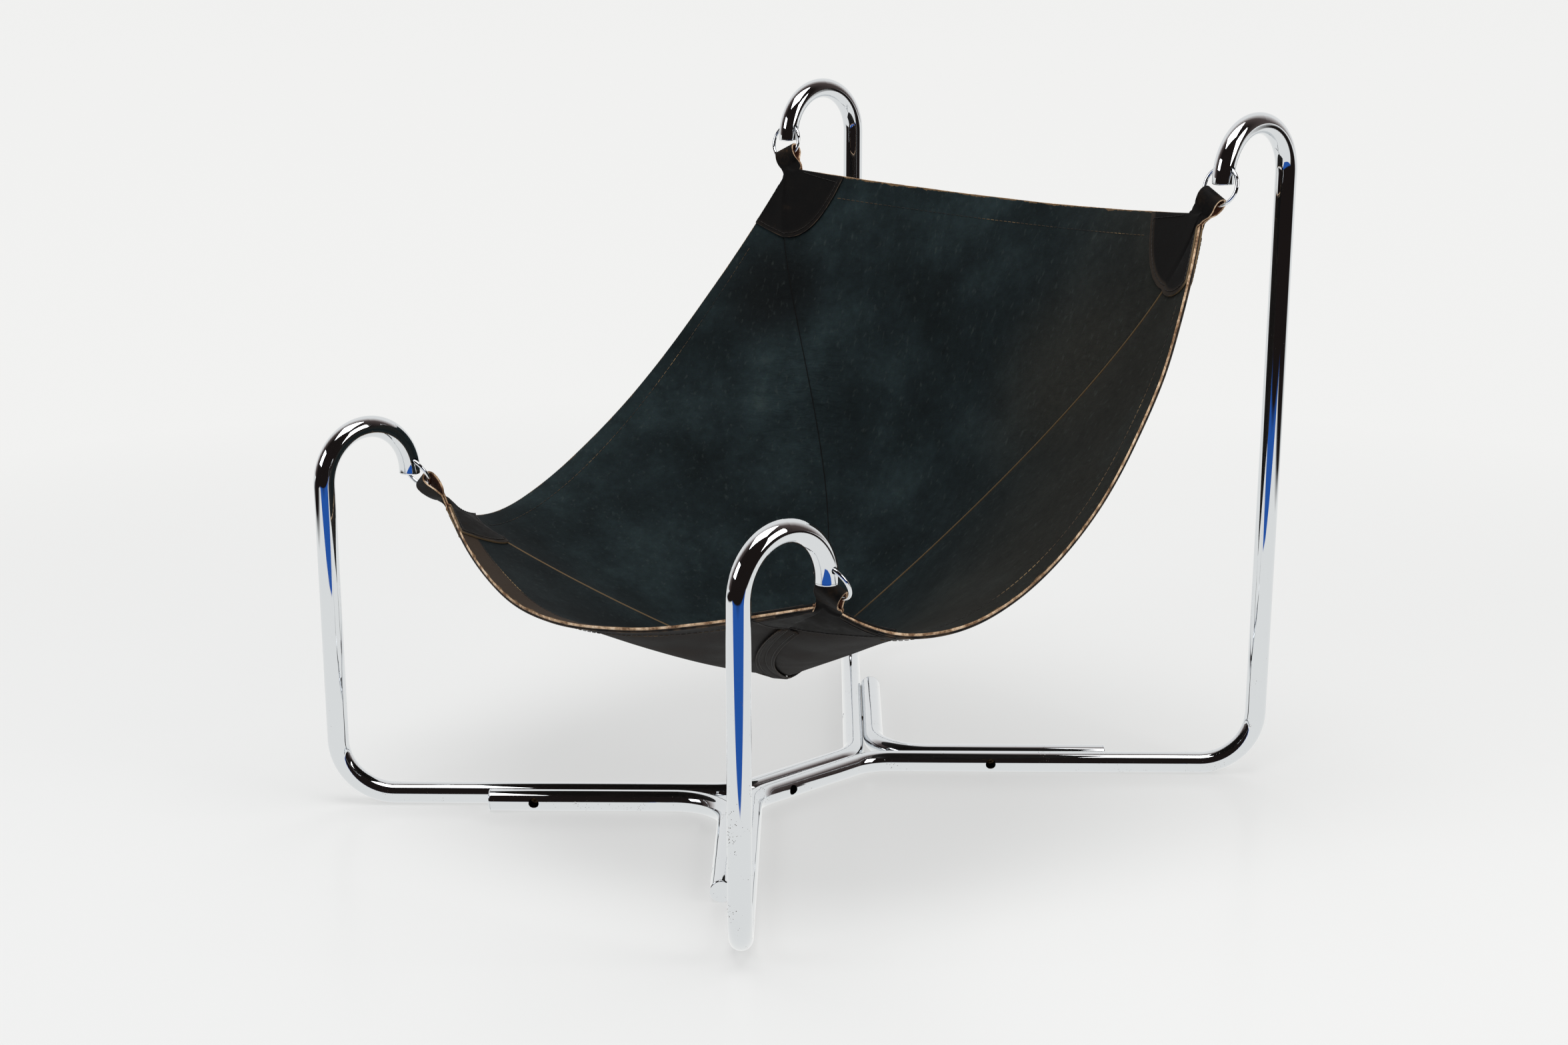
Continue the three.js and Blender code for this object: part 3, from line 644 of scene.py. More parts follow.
def facingPlace(panelName, first, last, down, across):
    u = first + (last - first) * across
    v = depthAt(panelName, u, facing["width"] * down)
    point, normal, *gaps = slingPlace(panelName, u, v)
    rise = sling["leather"] / 2 + facing["gap"] + facing["leather"] / 2
    return point + normal * rise, normal, *gaps


facingPieces = {}
for panelName in panels:
    first, last = edgeWalk(panelName, facing["endGap"])
    grid = sheetGrid(facing["rows"], facing["columns"], partial(facingPlace, panelName, first, last))
    facingPieces[panelName] = leatherSheet(panelName + "Facing", grid, facing["leather"],
                                           [3, 3, 3, 3, 3], ("edgeGap", "seamGap"))
print("facings cut")

# Corner pieces: one strip that is a patch inside, a strap round the ring and a patch outside
strip = {
    "leather": 2.5,
    "gap": 0.35,
    "width": 30.0,
    "room": 6.2,
    "fold": 11.0,
    "seamReach": 96.0,       # corner to the round end of a patch, along the seam
    "edgeReach": 84.0,       # corner to where a patch leaves the free edge
    "edgeInset": 0.985,      # share of the way out to the free edge itself
    "neck": 0.2,             # share of a patch at which the strap leaves it
    "rowBias": 1.25,         # sets the rows of a patch closer together near its round end
    # shares of the strap, from the patch to the fold
    "turnEnd": 0.85,         # where the strap has turned to face along the ring
    "openFrom": 0.54,        # where the two layers part round the ring, over which share and how suddenly
    "openOver": 0.38,
    "openPower": 0.85,
    "closeFrom": 0.04,       # where the layers close past the panels, at the sides and how much later midway
    "closeLater": 0.42,
    "closeOver": 0.09,
    "toneGap": 20.0,         # the border of a patch is toned like a seam this far from the free edge
    "across": 28,
    "patchRows": 28,
    "legRows": 24,
    "foldRows": 16,
    "flat": {"back_right": (0.172, 0.259, 0.0168), "back_left": (0.167, 0.259, 0.0168),
             "front_left": (0.192, 0.281, 0.0164), "front_right": (0.192, 0.281, 0.0164)},
}
# how round a patch is cut on the panel before its seam and on the panel after it: 0 straight, 1 an arc
patchRounding = {
    "back_right": (0.6, 0.75),
    "back_left": (0.95, 0.2),
    "front_left": (0.4, 0.7),
    "front_right": (0.7, 0.4),
}


def walkShare(pointAt, distance):
    # the share of a curve that a distance from its start takes
    steps = 240
    at = pointAt(0)
    walked = 0.0
    for k in range(1, steps + 1):
        following = pointAt(k / steps)
        step = (following - at).length
        if walked + step >= distance:
            return (k - 1 + (distance - walked) / step) / steps
        walked += step
        at = following
    return 1.0


def seamShare(cornerName, distance):
    return walkShare(lambda t: cubic(seams[cornerName], t), distance)


def edgeShare(panelName, distance, atEnd):
    return walkShare(lambda t: barePoint(panelName, 1 - t if atEnd else t, 0), distance)


acrossShares = [1 - 2 * k / strip["across"] for k in range(strip["across"] + 1)]


def patchRow(cornerName, reach, lift, shares):
    # places across a patch at a share of its size: a negative share lies on the panel before the seam
    before, after = neighbours[cornerName]
    depth = seamShare(cornerName, reach * strip["seamReach"])
    edgeReach = reach * strip["edgeReach"]
    edges = {before: edgeShare(before, edgeReach, True), after: edgeShare(after, edgeReach, False)}
    row = []
    for share in shares:
        onAfter = share >= 0
        panelName, rounding = neighbours[cornerName][onAfter], patchRounding[cornerName][onAfter]
        out = abs(share) * strip["edgeInset"]
        swing = out * math.pi / 2
        own = edges[panelName] * (out + (math.sin(swing) - out) * rounding)
        down = depth * ((1 - out) + (math.cos(swing) - (1 - out)) * rounding)
        point, normal = slingPlace(panelName, own if onAfter else 1 - own, down)[:2]
        row.append((point + normal * lift, normal))
    return row


cornerPieces = {}
for cornerName in neighbours:
    corner = slingCorners[cornerName]
    places = ringPlaces[cornerName]
    centre = (places["centre"] - centreShift) * 1000
    outward = seamNormal(cornerName, 0)
    faceWay = places["face"] * (1 if places["face"].dot(outward) > 0 else -1)
    pull = (corner - centre).normalized()
    across = faceWay.cross(pull)
    bend = centre + pull * (strip["fold"] + strip["room"])
    roomy = strip["room"] + strip["leather"] / 2
    pinch = strip["leather"] / 2 + strip["gap"]
    seat = sling["leather"] / 2 + strip["gap"] + strip["leather"] / 2
    middleColumn = strip["across"] // 2
    reaches = [1 - (1 - strip["neck"]) * (k / strip["patchRows"]) ** strip["rowBias"]
               for k in range(strip["patchRows"] + 1)]

    def stripHalf(side):
        rows = []
        for reach in reaches:
            border = (1 - reach) * strip["seamReach"]
            row = patchRow(cornerName, reach, side * seat, acrossShares)
            rows.append([(p, n * side, 0.0, border, strip["toneGap"]) for p, n in row])
        root = rows[-1]
        rootMiddle = root[middleColumn][0]
        rootBase = rootMiddle - root[middleColumn][1] * seat
        for k in range(1, strip["legRows"]):
            step = k / strip["legRows"]
            middle = rootBase.lerp(corner, step).lerp(corner.lerp(bend, step), step)
            turn = smoothStep(step / strip["turnEnd"])
            lift = root[middleColumn][1].lerp(faceWay * side, turn).normalized()
            parted = min(1.0, max(0.0, (step - strip["openFrom"]) / strip["openOver"]))
            opening = pinch + (roomy - pinch) * parted ** strip["openPower"]
            row = []
            for n, share in enumerate(acrossShares):
                sideways = (root[n][0] - rootMiddle).lerp(across * (share * strip["width"] / 2), turn)
                normal = root[n][1].lerp(faceWay * side, turn).normalized()
                # the two layers close where the corner of the panels ends and open again round the ring
                late = step - strip["closeFrom"] - strip["closeLater"] * (1 - abs(share))
                closed = smoothStep(late / strip["closeOver"])
                apart = max(seat + (pinch - seat) * closed, opening)
                row.append((middle + lift * apart + sideways, normal, step, strip["seamReach"], 0.0))
            rows.append(row)
        return rows

    foldRows = []
    for k in range(strip["foldRows"] + 1):
        angle = math.pi / 2 - math.pi * k / strip["foldRows"]
        normal = faceWay * math.sin(angle) - pull * math.cos(angle)
        row = []
        for share in acrossShares:
            point = bend + normal * roomy + across * (share * strip["width"] / 2)
            row.append((point, normal, 1.0, strip["seamReach"], 0.0))
        foldRows.append(row)
    grid = stripHalf(1) + foldRows + stripHalf(-1)[::-1]
    cornerPieces[cornerName] = leatherSheet("cornerStrip_" + cornerName, grid, strip["leather"],
                                            [2, 2, 2, 2, 3], ("loopShare", "borderGap", "edgeGap"))
print("corner strips folded")

# Tapes under the seams
tape = {
    "leather": 2.0,
    "width": 25.0,
    "gap": 0.3,
    "start": 97.0,           # corner to the upper end of a tape
    "endShare": 0.9985,
    "rows": 70,
    "across": 30,
    "stitching": (-8.5, 0.01, 8.5),
    "stitchStart": 101.0,
    "stitchEnd": 0.97,
    "groove": 0.9,
    "grooveWidth": 1.5,
    "measure": 0.02,         # share of a panel over which its width is measured
    "flat": {"back": (0.026, 0.645, 0.0130), "front": (0.026, 0.367, 0.0080)},
}


def underSeam(cornerName, v, offset, rise):
    # a place under a seam: a negative offset lies on the panel before it
    before, after = neighbours[cornerName]
    panelName, edge, inside = after, 0.0, tape["measure"]
    if offset < 0:
        panelName, edge, inside = before, 1.0, 1 - tape["measure"]
    span = (barePoint(panelName, inside, v) - barePoint(panelName, edge, v)).length / tape["measure"]
    share = min(0.5, abs(offset) / span)
    normal = seamNormal(cornerName, min(tape["stitchEnd"], v))
    for row in tape["stitching"]:
        rise -= tape["groove"] * math.exp(-((offset - row) / tape["grooveWidth"]) ** 2)
    return barePoint(panelName, 1 - share if offset < 0 else share, v) + normal * rise, normal


def tapePlace(cornerName, startShare, down, across):
    rise = sling["leather"] / 2 + tape["gap"] + tape["leather"] / 2 + sling["lapUnder"] + tape["groove"]
    v = startShare + (tape["endShare"] - startShare) * down
    return underSeam(cornerName, v, tape["width"] * (across - 0.5), rise)


tapePieces = {}
for cornerName in neighbours:
    startShare = seamShare(cornerName, tape["start"])
    grid = sheetGrid(tape["rows"], tape["across"], partial(tapePlace, cornerName, startShare))
    tapePieces[cornerName] = leatherSheet("seamTape_" + cornerName, grid, tape["leather"], [2, 2, 2, 2, 2])
print("tapes laid")

# Stitching: one stitch is modelled and copied along each row
stitch = {
    "length": 5.2,
    "pitch": 7.0,
    "patchPitch": 5.6,
    "thread": 0.95,
    "sink": 0.15,
    "around": 6,
    "straight": 0.7,         # share of a stitch's length between its ends
    "endLength": 0.15,       # its ends dip into the leather and are thinner
    "endDip": 0.22,
    "endThread": 0.72,
    "lean": 0.12,            # hand sewn rows aren't quite straight
    "leanLength": 3.0,
    "shadeAngle": 60,
    "hemEnd": 22.0,          # the hem's stitching stops this far before its facing does
    "hemPoints": 120,
    "patchFrom": 0.3,        # shares of a patch between which its border is sewn, and how far out
    "patchOver": 0.64,
    "patchOut": 0.92,
    "patchPoints": 24,
    "roundStep": 0.04,       # share of a patch between two points round its end
    "seamPoints": 80,
}
bpy.ops.mesh.primitive_cylinder_add(vertices=stitch["around"], radius=0.5, depth=stitch["straight"],
                                    rotation=(0, math.pi / 2, 0))  # of unit length and thickness
stitchModel = addedPiece("stitchModel")
bpy.ops.object.mode_set(mode="EDIT")
bpy.ops.mesh.select_mode(type="FACE")
for way in (1, -1):
    pick(stitchModel, "polygons", lambda face: face.normal.x * way > 0.9)
    drawOut((stitch["endLength"] * way, 0, -stitch["endDip"]))
    bpy.ops.transform.resize(value=(1, stitch["endThread"], stitch["endThread"]))
bpy.ops.object.mode_set(mode="OBJECT")
stitchPoints = [vertex.co.copy() for vertex in stitchModel.data.vertices]
stitchFaces = [tuple(face.vertices) for face in stitchModel.data.polygons]
deletePiece(stitchModel)


def stitchRows(name, rows, pitchLength):
    # each row is a list of places: a point on the leather's face and the way out of it
    thick = stitch["thread"]
    points, faces = [], []
    for row in rows:
        lengths = runLengths([place[0] for place in row])
        count = int(lengths[-1] / pitchLength)
        k = 0
        for n in range(count):
            target = (n + 0.5) * lengths[-1] / count
            while k < len(row) - 2 and lengths[k + 1] < target:
                k += 1
            part = (target - lengths[k]) / max(1e-6, lengths[k + 1] - lengths[k])
            at = row[k][0].lerp(row[k + 1][0], part)
            out = row[k][1].lerp(row[k + 1][1], part).normalized()
            along = (row[k + 1][0] - row[k][0]).normalized()
            sideways = out.cross(along).normalized()
            along = sideways.cross(out)
            lean = stitch["lean"] * noise.noise(at / stitch["leanLength"])
            along = (along + sideways * lean).normalized()
            start = len(points)
            for p in stitchPoints:
                rise = p.z * thick + thick / 2 - stitch["sink"]
                offset = along * (p.x * stitch["length"]) + sideways * (p.y * thick) + out * rise
                points.append(spot(at + offset))
            faces += [tuple(start + v for v in face) for face in stitchFaces]
    piece = meshPiece(name, points, faces)
    smoothShade(piece, stitch["shadeAngle"])
    return piece


def hemRow(panelName, side, rise):
    first, last = edgeWalk(panelName, facing["endGap"] + stitch["hemEnd"])
    row = []
    for k in range(stitch["hemPoints"] + 1):
        u = first + (last - first) * k / stitch["hemPoints"]
        point, normal = slingPlace(panelName, u, depthAt(panelName, u, sling["hemGap"]))[:2]
        row.append((point + normal * (side * rise), normal * side))
    return row


hemStitches, patchStitches, seamStitches = {}, {}, {}
for panelName in panels:
    inside = sling["leather"] / 2
    rows = [hemRow(panelName, -1, inside), hemRow(panelName, 1, inside + facing["gap"] + facing["leather"])]
    hemStitches[panelName] = stitchRows(panelName + "HemStitches", rows, stitch["pitch"])
for cornerName in neighbours:
    faceRise = sling["leather"] / 2 + strip["gap"] + strip["leather"]
    reaches = [stitch["patchFrom"] + stitch["patchOver"] * k / stitch["patchPoints"]
               for k in range(stitch["patchPoints"] + 1)]
    borders = (stitch["patchOut"], -stitch["patchOut"])
    roundHalf = round(stitch["patchOut"] / stitch["roundStep"]) - 1
    roundEnd = [stitch["roundStep"] * k for k in range(roundHalf, -roundHalf - 1, -1)]
    rows = []
    for side in (1, -1):
        # down one border of the patch, round its end, and up the other border
        border = [patchRow(cornerName, reach, side * faceRise, borders) for reach in reaches]
        row = [pair[0] for pair in border]
        row += patchRow(cornerName, reaches[-1], side * faceRise, roundEnd)
        row += [pair[1] for pair in reversed(border)]
        rows.append([(p, n * side) for p, n in row])
    patchStitches[cornerName] = stitchRows("patchStitches_" + cornerName, rows, stitch["patchPitch"])
    rise = sling["leather"] / 2 + tape["gap"] + tape["leather"] + sling["lapUnder"] + tape["groove"]
    startShare = seamShare(cornerName, tape["stitchStart"])
    depths = [startShare + (tape["stitchEnd"] - startShare) * k / stitch["seamPoints"]
              for k in range(stitch["seamPoints"] + 1)]
    rows = [[underSeam(cornerName, v, offset, rise) for v in depths] for offset in tape["stitching"]]
    seamStitches[cornerName] = stitchRows("seamStitches_" + cornerName, rows, stitch["pitch"])
print("stitching sewn")

# Materials: settings that many nodes share
colourMix = {"data_type": "RGBA"}
overlayMix = {"data_type": "RGBA", "blend_type": "OVERLAY"}
easedRange = {"interpolation_type": "SMOOTHSTEP"}
product = {"operation": "MULTIPLY"}
productSum = {"operation": "MULTIPLY_ADD"}
total = {"operation": "ADD"}
lessThan = {"operation": "LESS_THAN"}
farFrom = {"operation": "DISTANCE"}
dotProduct = {"operation": "DOT_PRODUCT"}


def hexColour(code):
    parts = [int(code[k:k + 2], 16) / 255 for k in (1, 3, 5)]
    linear = [c / 12.92 if c <= 0.04045 else ((c + 0.055) / 1.055) ** 2.4 for c in parts]
    return (*linear, 1.0)


def setInputs(node, inputs):
    # a socket is given by its name or as i and its number, and a list fills the sockets that follow it
    for key, value in inputs.items():
        first = int(key[1:]) if key[1:].isdigit() else node.inputs.find(key.replace("_", " "))
        for n, item in enumerate(value if isinstance(value, list) else [value]):
            if isinstance(item, bpy.types.Node):
                item = next(output for output in item.outputs if output.enabled)
            if isinstance(item, bpy.types.NodeSocket):
                node.id_data.links.new(item, node.inputs[first + n])
            else:
                node.inputs[first + n].default_value = hexColour(item) if isinstance(item, str) else item


def addNode(holder, kind, settings=None, **inputs):
    node = holder.node_tree.nodes.new("ShaderNode" + kind)
    for key, value in (settings or {}).items():
        if key == "stops":  # the colours of a ramp
            elements = node.color_ramp.elements
            while len(elements) < len(value):
                elements.new(0.5)
            for element, (position, code) in zip(elements, value):
                element.position = position
                element.color = hexColour(code)
        else:
            setattr(node, key, value)
    setInputs(node, inputs)
    return node


def newMaterial(name, **inputs):
    material = bpy.data.materials.new(name)
    material.use_nodes = True
    shader = material.node_tree.nodes["Principled BSDF"]
    setInputs(shader, inputs)
    coords = addNode(material, "TexCoord").outputs["Object"]
    return material, shader, coords, partial(addNode, material)


# Chromed steel tube, bent, polished and plated: a mirror with a faint blue-grey tint, dulled by
# handling, with rust pits that grow denser near the floor
chromedSteel, shader, coords, add = newMaterial("chromedSteel", Metallic=1.0)
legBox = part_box("right_side_tube")
wornLegPlace = (legBox[1][0] - 0.012, legBox[0][1] + 0.012, 0.15)  # low on the front right leg
handling = add("TexNoise", Vector=coords, Scale=22.0, Detail=3.0)  # smears about 45 mm wide
gloss = add("MapRange", i0=[handling, 0.35, 0.75, 0.012, 0.06])
pits = add("TexVoronoi", Vector=coords, Scale=420.0)  # one pit site each 2.4 mm
pitSize = add("TexNoise", Vector=coords, Scale=31.0, Detail=5.0, Roughness=0.7)
height = add("SeparateXYZ", i0=coords).outputs["Z"]
lowDown = add("MapRange", i0=[height, 0.0, 0.2, 0.34, 0.1])
patchy = add("MapRange", i0=[pitSize, 0.5, 0.74, 0.0, 1.0])
wornLeg = add("VectorMath", farFrom, i0=[coords, wornLegPlace])
wornShare = add("MapRange", i0=[wornLeg, 0.05, 0.17, 0.3, 0.0])
pitted = add("Math", total, i0=[lowDown, wornShare])
reach = add("Math", product, i0=[pitted, patchy])
pitMask = add("Math", lessThan, i0=[pits, reach])
rough = add("Mix", {"data_type": "FLOAT"}, i0=pitMask, i2=[gloss, 0.6])
tint = add("Mix", colourMix, i0=pitMask, i6=["#dfe2e5", "#5b4636"])
dent = add("Bump", Height=pitMask, Strength=0.25, Distance=-0.0002)
setInputs(shader, {"Base Color": tint, "Roughness": rough, "Normal": dent})

# Plain machined steel of the socket screws, oiled and gone brown: a dim metal with patches of rust
screwSteel, shader, coords, add = newMaterial("oiledScrewSteel", Metallic=1.0)
rust = add("TexNoise", Vector=coords, Scale=350.0, Detail=4.0)  # patches about 3 mm
tint = add("ValToRGB", {"stops": [(0.35, "#8d7a5f"), (0.62, "#5c3d25")]}, Fac=rust)
rough = add("MapRange", i0=[rust, 0.3, 0.7, 0.35, 0.7])
setInputs(shader, {"Base Color": tint, "Roughness": rough})

# Sling leather, flesh side up and buffed to suede, dyed blue-black and long sat on: a matt dark hide
# with paler rubbed clouds and fine scratches, faded browner on the right and along the front hem
suede, shader, coords, add = newMaterial("rubbedSuede", Specular_IOR_Level=0.09, Sheen_Weight=0.02,
                                         Sheen_Roughness=0.5)
# spots: panel and place on it, the distances in metres over which the spot fades, and its strength
suedeSpots = {
    "dark": ("left", 0.05, 0.25, 0.02, 0.1, 0.85),
    "pale": ("back", 0.1, 0.36, 0.02, 0.16, 0.45),
    "crepe": ("left", 0.06, 0.47, 0.03, 0.12, 1.6),
}
spotShares = {}
for spotName, (panelName, u, v, near, far, strength) in suedeSpots.items():
    away = add("VectorMath", farFrom, i0=[coords, spot(slingPlace(panelName, u, v)[0])])
    spotShares[spotName] = add("MapRange", easedRange, i0=[away, near, far, strength, 0.0])
place = add("SeparateXYZ", i0=coords)
edgeGap = add("Attribute", {"attribute_name": "edgeGap"}).outputs["Fac"]
seamGap = add("Attribute", {"attribute_name": "seamGap"}).outputs["Fac"]
clouds = add("TexNoise", Vector=coords, Scale=9.0, Detail=7.0, Roughness=0.62)  # clouds about 110 mm
cloudStops = [(0.28, "#0b1112"), (0.48, "#131c1e"), (0.64, "#1c2729"), (0.8, "#303a39")]
cloudTint = add("ValToRGB", {"stops": cloudStops}, Fac=clouds)
darkened = add("Mix", colourMix, i0=spotShares["dark"], i6=[cloudTint, "#0a0d0e"])
paled = add("Mix", colourMix, i0=spotShares["pale"], i6=[darkened, "#2d2a23"])
fadeSum = add("Math", productSum, i0=[clouds, 0.35, place.outputs["X"]])
fade = add("MapRange", easedRange, i0=[fadeSum, 0.2, 0.52, 0.0, 0.72])
faded = add("Mix", colourMix, i0=fade, i6=[paled, "#1e1b15"])
frontDark = add("MapRange", easedRange, i0=[place.outputs["Y"], -0.1, -0.24, 0.0, 0.6])
fronted = add("Mix", colourMix, i0=frontDark, i6=[faded, "#090e10"])
grain = add("TexNoise", Vector=coords, Scale=620.0, Detail=4.0, Roughness=0.65)  # nap about 1.6 mm
napTint = add("Mix", overlayMix, i0=0.32, i6=[fronted, grain.outputs["Color"]])
mottle = add("TexNoise", Vector=coords, Scale=110.0, Detail=6.0, Roughness=0.7)  # mottled at 9 mm
mottleTint = add("Mix", overlayMix, i0=0.55, i6=[napTint, mottle])
scratchMap = add("Mapping", Vector=coords, Scale=(190.0, 190.0, 14.0), Rotation=(0.5, 0.3, 0.7))
scratches = add("TexNoise", Vector=scratchMap, Scale=1.0, Detail=3.0)  # strokes 5 by 70 mm
scratchMask = add("MapRange", i0=[scratches, 0.6, 0.8, 0.0, 0.2])
scratched = add("Mix", colourMix, i0=scratchMask, i6=[mottleTint, "#4a514e"])
hemNear = add("MapRange", easedRange, i0=[edgeGap, 33.0, 27.0, 0.0, 1.0])
hemFront = add("MapRange", i0=[place.outputs["Y"], -0.22, -0.3, 0.0, 0.75])
hemMask = add("Math", product, i0=[hemNear, hemFront])
hemmed = add("Mix", colourMix, i0=hemMask, i6=[scratched, "#35291f"])
rubNoise = add("TexNoise", Vector=coords, Scale=48.0, Detail=6.0, Roughness=0.7)  # breaks the rub up at 20 mm
rubReach = add("MapRange", i0=[rubNoise, 0.4, 0.75, 0.0, 5.0])
rubMask = add("Math", lessThan, i0=[edgeGap, rubReach])
rubbed = add("Mix", colourMix, i0=rubMask, i6=[hemmed, "#5a4630"])
rough = add("MapRange", i0=[clouds, 0.3, 0.8, 0.9, 0.72])
creaseMap = add("Mapping", Vector=coords, Scale=(55.0, 55.0, 170.0))
creases = add("TexNoise", Vector=creaseMap, Scale=1.0, Detail=4.0, Distortion=0.6)  # crepe 6 mm apart
creaseNear = add("MapRange", easedRange, i0=[seamGap, 90.0, 10.0, 0.12, 0.8])
creaseDeep = add("Math", total, i0=[creaseNear, spotShares["crepe"]])
creaseHeight = add("Math", product, i0=[creases, creaseDeep])
creaseBump = add("Bump", Height=creaseHeight, Strength=0.55, Distance=0.0022)
napBump = add("Bump", Height=grain, Strength=0.35, Distance=0.0005, Normal=creaseBump)
setInputs(shader, {"Base Color": rubbed, "Roughness": rough, "Normal": napBump})

# Grain side of the same hide, outside the sling: smooth charcoal leather with pores and dry cracks
hideGrain, shader, coords, add = newMaterial("charcoalHideGrain", Specular_IOR_Level=0.08)
tone = add("TexNoise", Vector=coords, Scale=14.0, Detail=6.0)  # tone drifts over 70 mm
tint = add("ValToRGB", {"stops": [(0.3, "#0d0a09"), (0.55, "#171311"), (0.78, "#261f1b")]}, Fac=tone)
rough = add("MapRange", i0=[tone, 0.3, 0.75, 0.62, 0.8])
cells = add("TexVoronoi", {"feature": "DISTANCE_TO_EDGE"}, Vector=coords, Scale=480.0)  # grain 2 mm
cellHeight = add("MapRange", i0=[cells, 0.0, 0.25, 0.0, 1.0])
cellBump = add("Bump", Height=cellHeight, Strength=0.3, Distance=0.0004)
setInputs(shader, {"Base Color": tint, "Roughness": rough, "Normal": cellBump})

# Raw cut edge of vegetable tanned hide: fibrous cream to tan with dark brown patches, and its palest
# pinkish-white patches are painted highlights.
# Along the seams it is painted black as shade at the back left and front right, where the lapped edges face
# away from the camera, and is tan at the other two
cutEdge, shader, coords, add = newMaterial("rawCutEdge", Specular_IOR_Level=0.25, Roughness=0.85)
edgeMottle = add("TexNoise", Vector=coords, Scale=70.0, Detail=6.0, Roughness=0.7)  # patches about 14 mm
# cream to tan is the raw edge's own colour, the palest pinkish-white stop is painted highlight, and the
# darkest stop gives dark brown patches
creamAndHighlightStops = [(0.3, "#2b1d13"), (0.43, "#7d5f45"), (0.56, "#c6a98a"), (0.74, "#e8d8c4")]
creamAndHighlightTint = add("ValToRGB", {"stops": creamAndHighlightStops}, Fac=edgeMottle)
edgeGap = add("Attribute", {"attribute_name": "edgeGap"}).outputs["Fac"]
place = add("SeparateXYZ", i0=coords)
# painted shade: by the sign of x times y, the seam edges at the back left and front right are painted black
# and the other two are tan
diagonal = add("Math", product, i0=[place.outputs["X"], place.outputs["Y"]])
seamUnshadedShare = add("MapRange", i0=[diagonal, -0.002, 0.004, 0.0, 1.0])
seamTint = add("Mix", colourMix, i0=seamUnshadedShare, i6=["#0d0c0b", "#64523a"])
atSeam = add("MapRange", i0=[edgeGap, 6.0, 12.0, 0.0, 1.0])
edgeTint = add("Mix", colourMix, i0=atSeam, i6=[creamAndHighlightTint, seamTint])
fibre = add("TexNoise", Vector=coords, Scale=900.0, Detail=2.0)  # fibres about 1 mm
fibreBump = add("Bump", Height=fibre, Strength=0.4, Distance=0.0004)
setInputs(shader, {"Base Color": edgeTint, "Normal": fibreBump})

# Waxed bridle leather of the corner strips, grain side: near black, and rubbed grey-brown along the borders
# of the back right and front left patches
bridle, shader, coords, add = newMaterial("waxedBridleLeather", Specular_IOR_Level=0.12)
loopShare = add("Attribute", {"attribute_name": "loopShare"}).outputs["Fac"]
borderGap = add("Attribute", {"attribute_name": "borderGap"}).outputs["Fac"]
wear = add("TexNoise", Vector=coords, Scale=60.0, Detail=6.0, Roughness=0.68)  # wear about 16 mm
wearSum = add("Math", productSum, i0=[loopShare, 0.16, wear])
wearStops = [(0.42, "#050404"), (0.62, "#0b0908"), (0.8, "#20170f"), (0.97, "#4b3725")]
wearTint = add("ValToRGB", {"stops": wearStops}, Fac=wearSum)
borderNear = add("MapRange", easedRange, i0=[borderGap, 11.0, 6.0, 0.0, 1.0])
borderSome = add("TexNoise", Vector=coords, Scale=7.0, Detail=5.0)  # comes and goes over 140 mm
borderPart = add("MapRange", i0=[borderSome, 0.42, 0.6, 0.1, 0.8])
borderWear = add("Math", product, i0=[borderNear, borderPart])
place = add("SeparateXYZ", i0=coords)
diagonal = add("Math", product, i0=[place.outputs["X"], place.outputs["Y"]])
rubbed = add("MapRange", i0=[diagonal, -0.002, 0.004, 0.12, 1.0])
borderMask = add("Math", product, i0=[borderWear, rubbed])
bordered = add("Mix", colourMix, i0=borderMask, i6=[wearTint, "#332b24"])
rough = add("MapRange", i0=[wear, 0.3, 0.75, 0.6, 0.82])
pores = add("TexNoise", Vector=coords, Scale=700.0, Detail=3.0)  # pores about 1.4 mm
poreBump = add("Bump", Height=pores, Strength=0.3, Distance=0.0004)
setInputs(shader, {"Base Color": bordered, "Roughness": rough, "Normal": poreBump})


def mottledFinish(name, shine, roughness, stops, **pattern):
    material, shader, coords, add = newMaterial(name, Specular_IOR_Level=shine, Roughness=roughness)
    mottle = add("TexNoise", Vector=coords, **pattern)
    setInputs(shader, {"Base Color": add("ValToRGB", {"stops": stops}, Fac=mottle)})
    return material, shader, mottle, add


# Dyed part of the cut edge, where the black has soaked in: uneven over 9 mm
dyeStops = [(0.4, "#151313"), (0.72, "#4a3a2a")]
dyedEdge = mottledFinish("dyedEdge", 0.3, 0.7, dyeStops, Scale=110.0, Detail=4.0)[0]

# Flesh side of the strips, seen inside the loops: undyed, reddish brown and fibrous in tufts of about 5 mm
fleshStops = [(0.3, "#3a2118"), (0.55, "#5c3626"), (0.8, "#7a5038")]
bridleFlesh, shader, tufts, add = mottledFinish("bridleFlesh", 0.2, 0.85, fleshStops, Scale=180.0, Detail=5.0,
                                                Roughness=0.7)
setInputs(shader, {"Normal": add("Bump", Height=tufts, Strength=0.4, Distance=0.0006)})

# Waxed linen thread of the hems: tan where it is rubbed, dark where it has kept its dye, over 120 mm
linenStops = [(0.4, "#1c1a17"), (0.52, "#4a3b29"), (0.62, "#8f7652")]
linenThread = mottledFinish("waxedLinenThread", 0.3, 0.7, linenStops, Scale=8.0, Detail=6.0, Roughness=0.6)[0]

# Black waxed thread of the patches and the tapes: barely lighter than the leather, with dust over 25 mm
blackStops = [(0.45, "#100e0d"), (0.75, "#2e2822")]
blackThread = mottledFinish("waxedBlackThread", 0.35, 0.6, blackStops, Scale=40.0, Detail=5.0)[0]


def dress(piece, *materials):
    for material in materials:
        piece.data.materials.append(material)


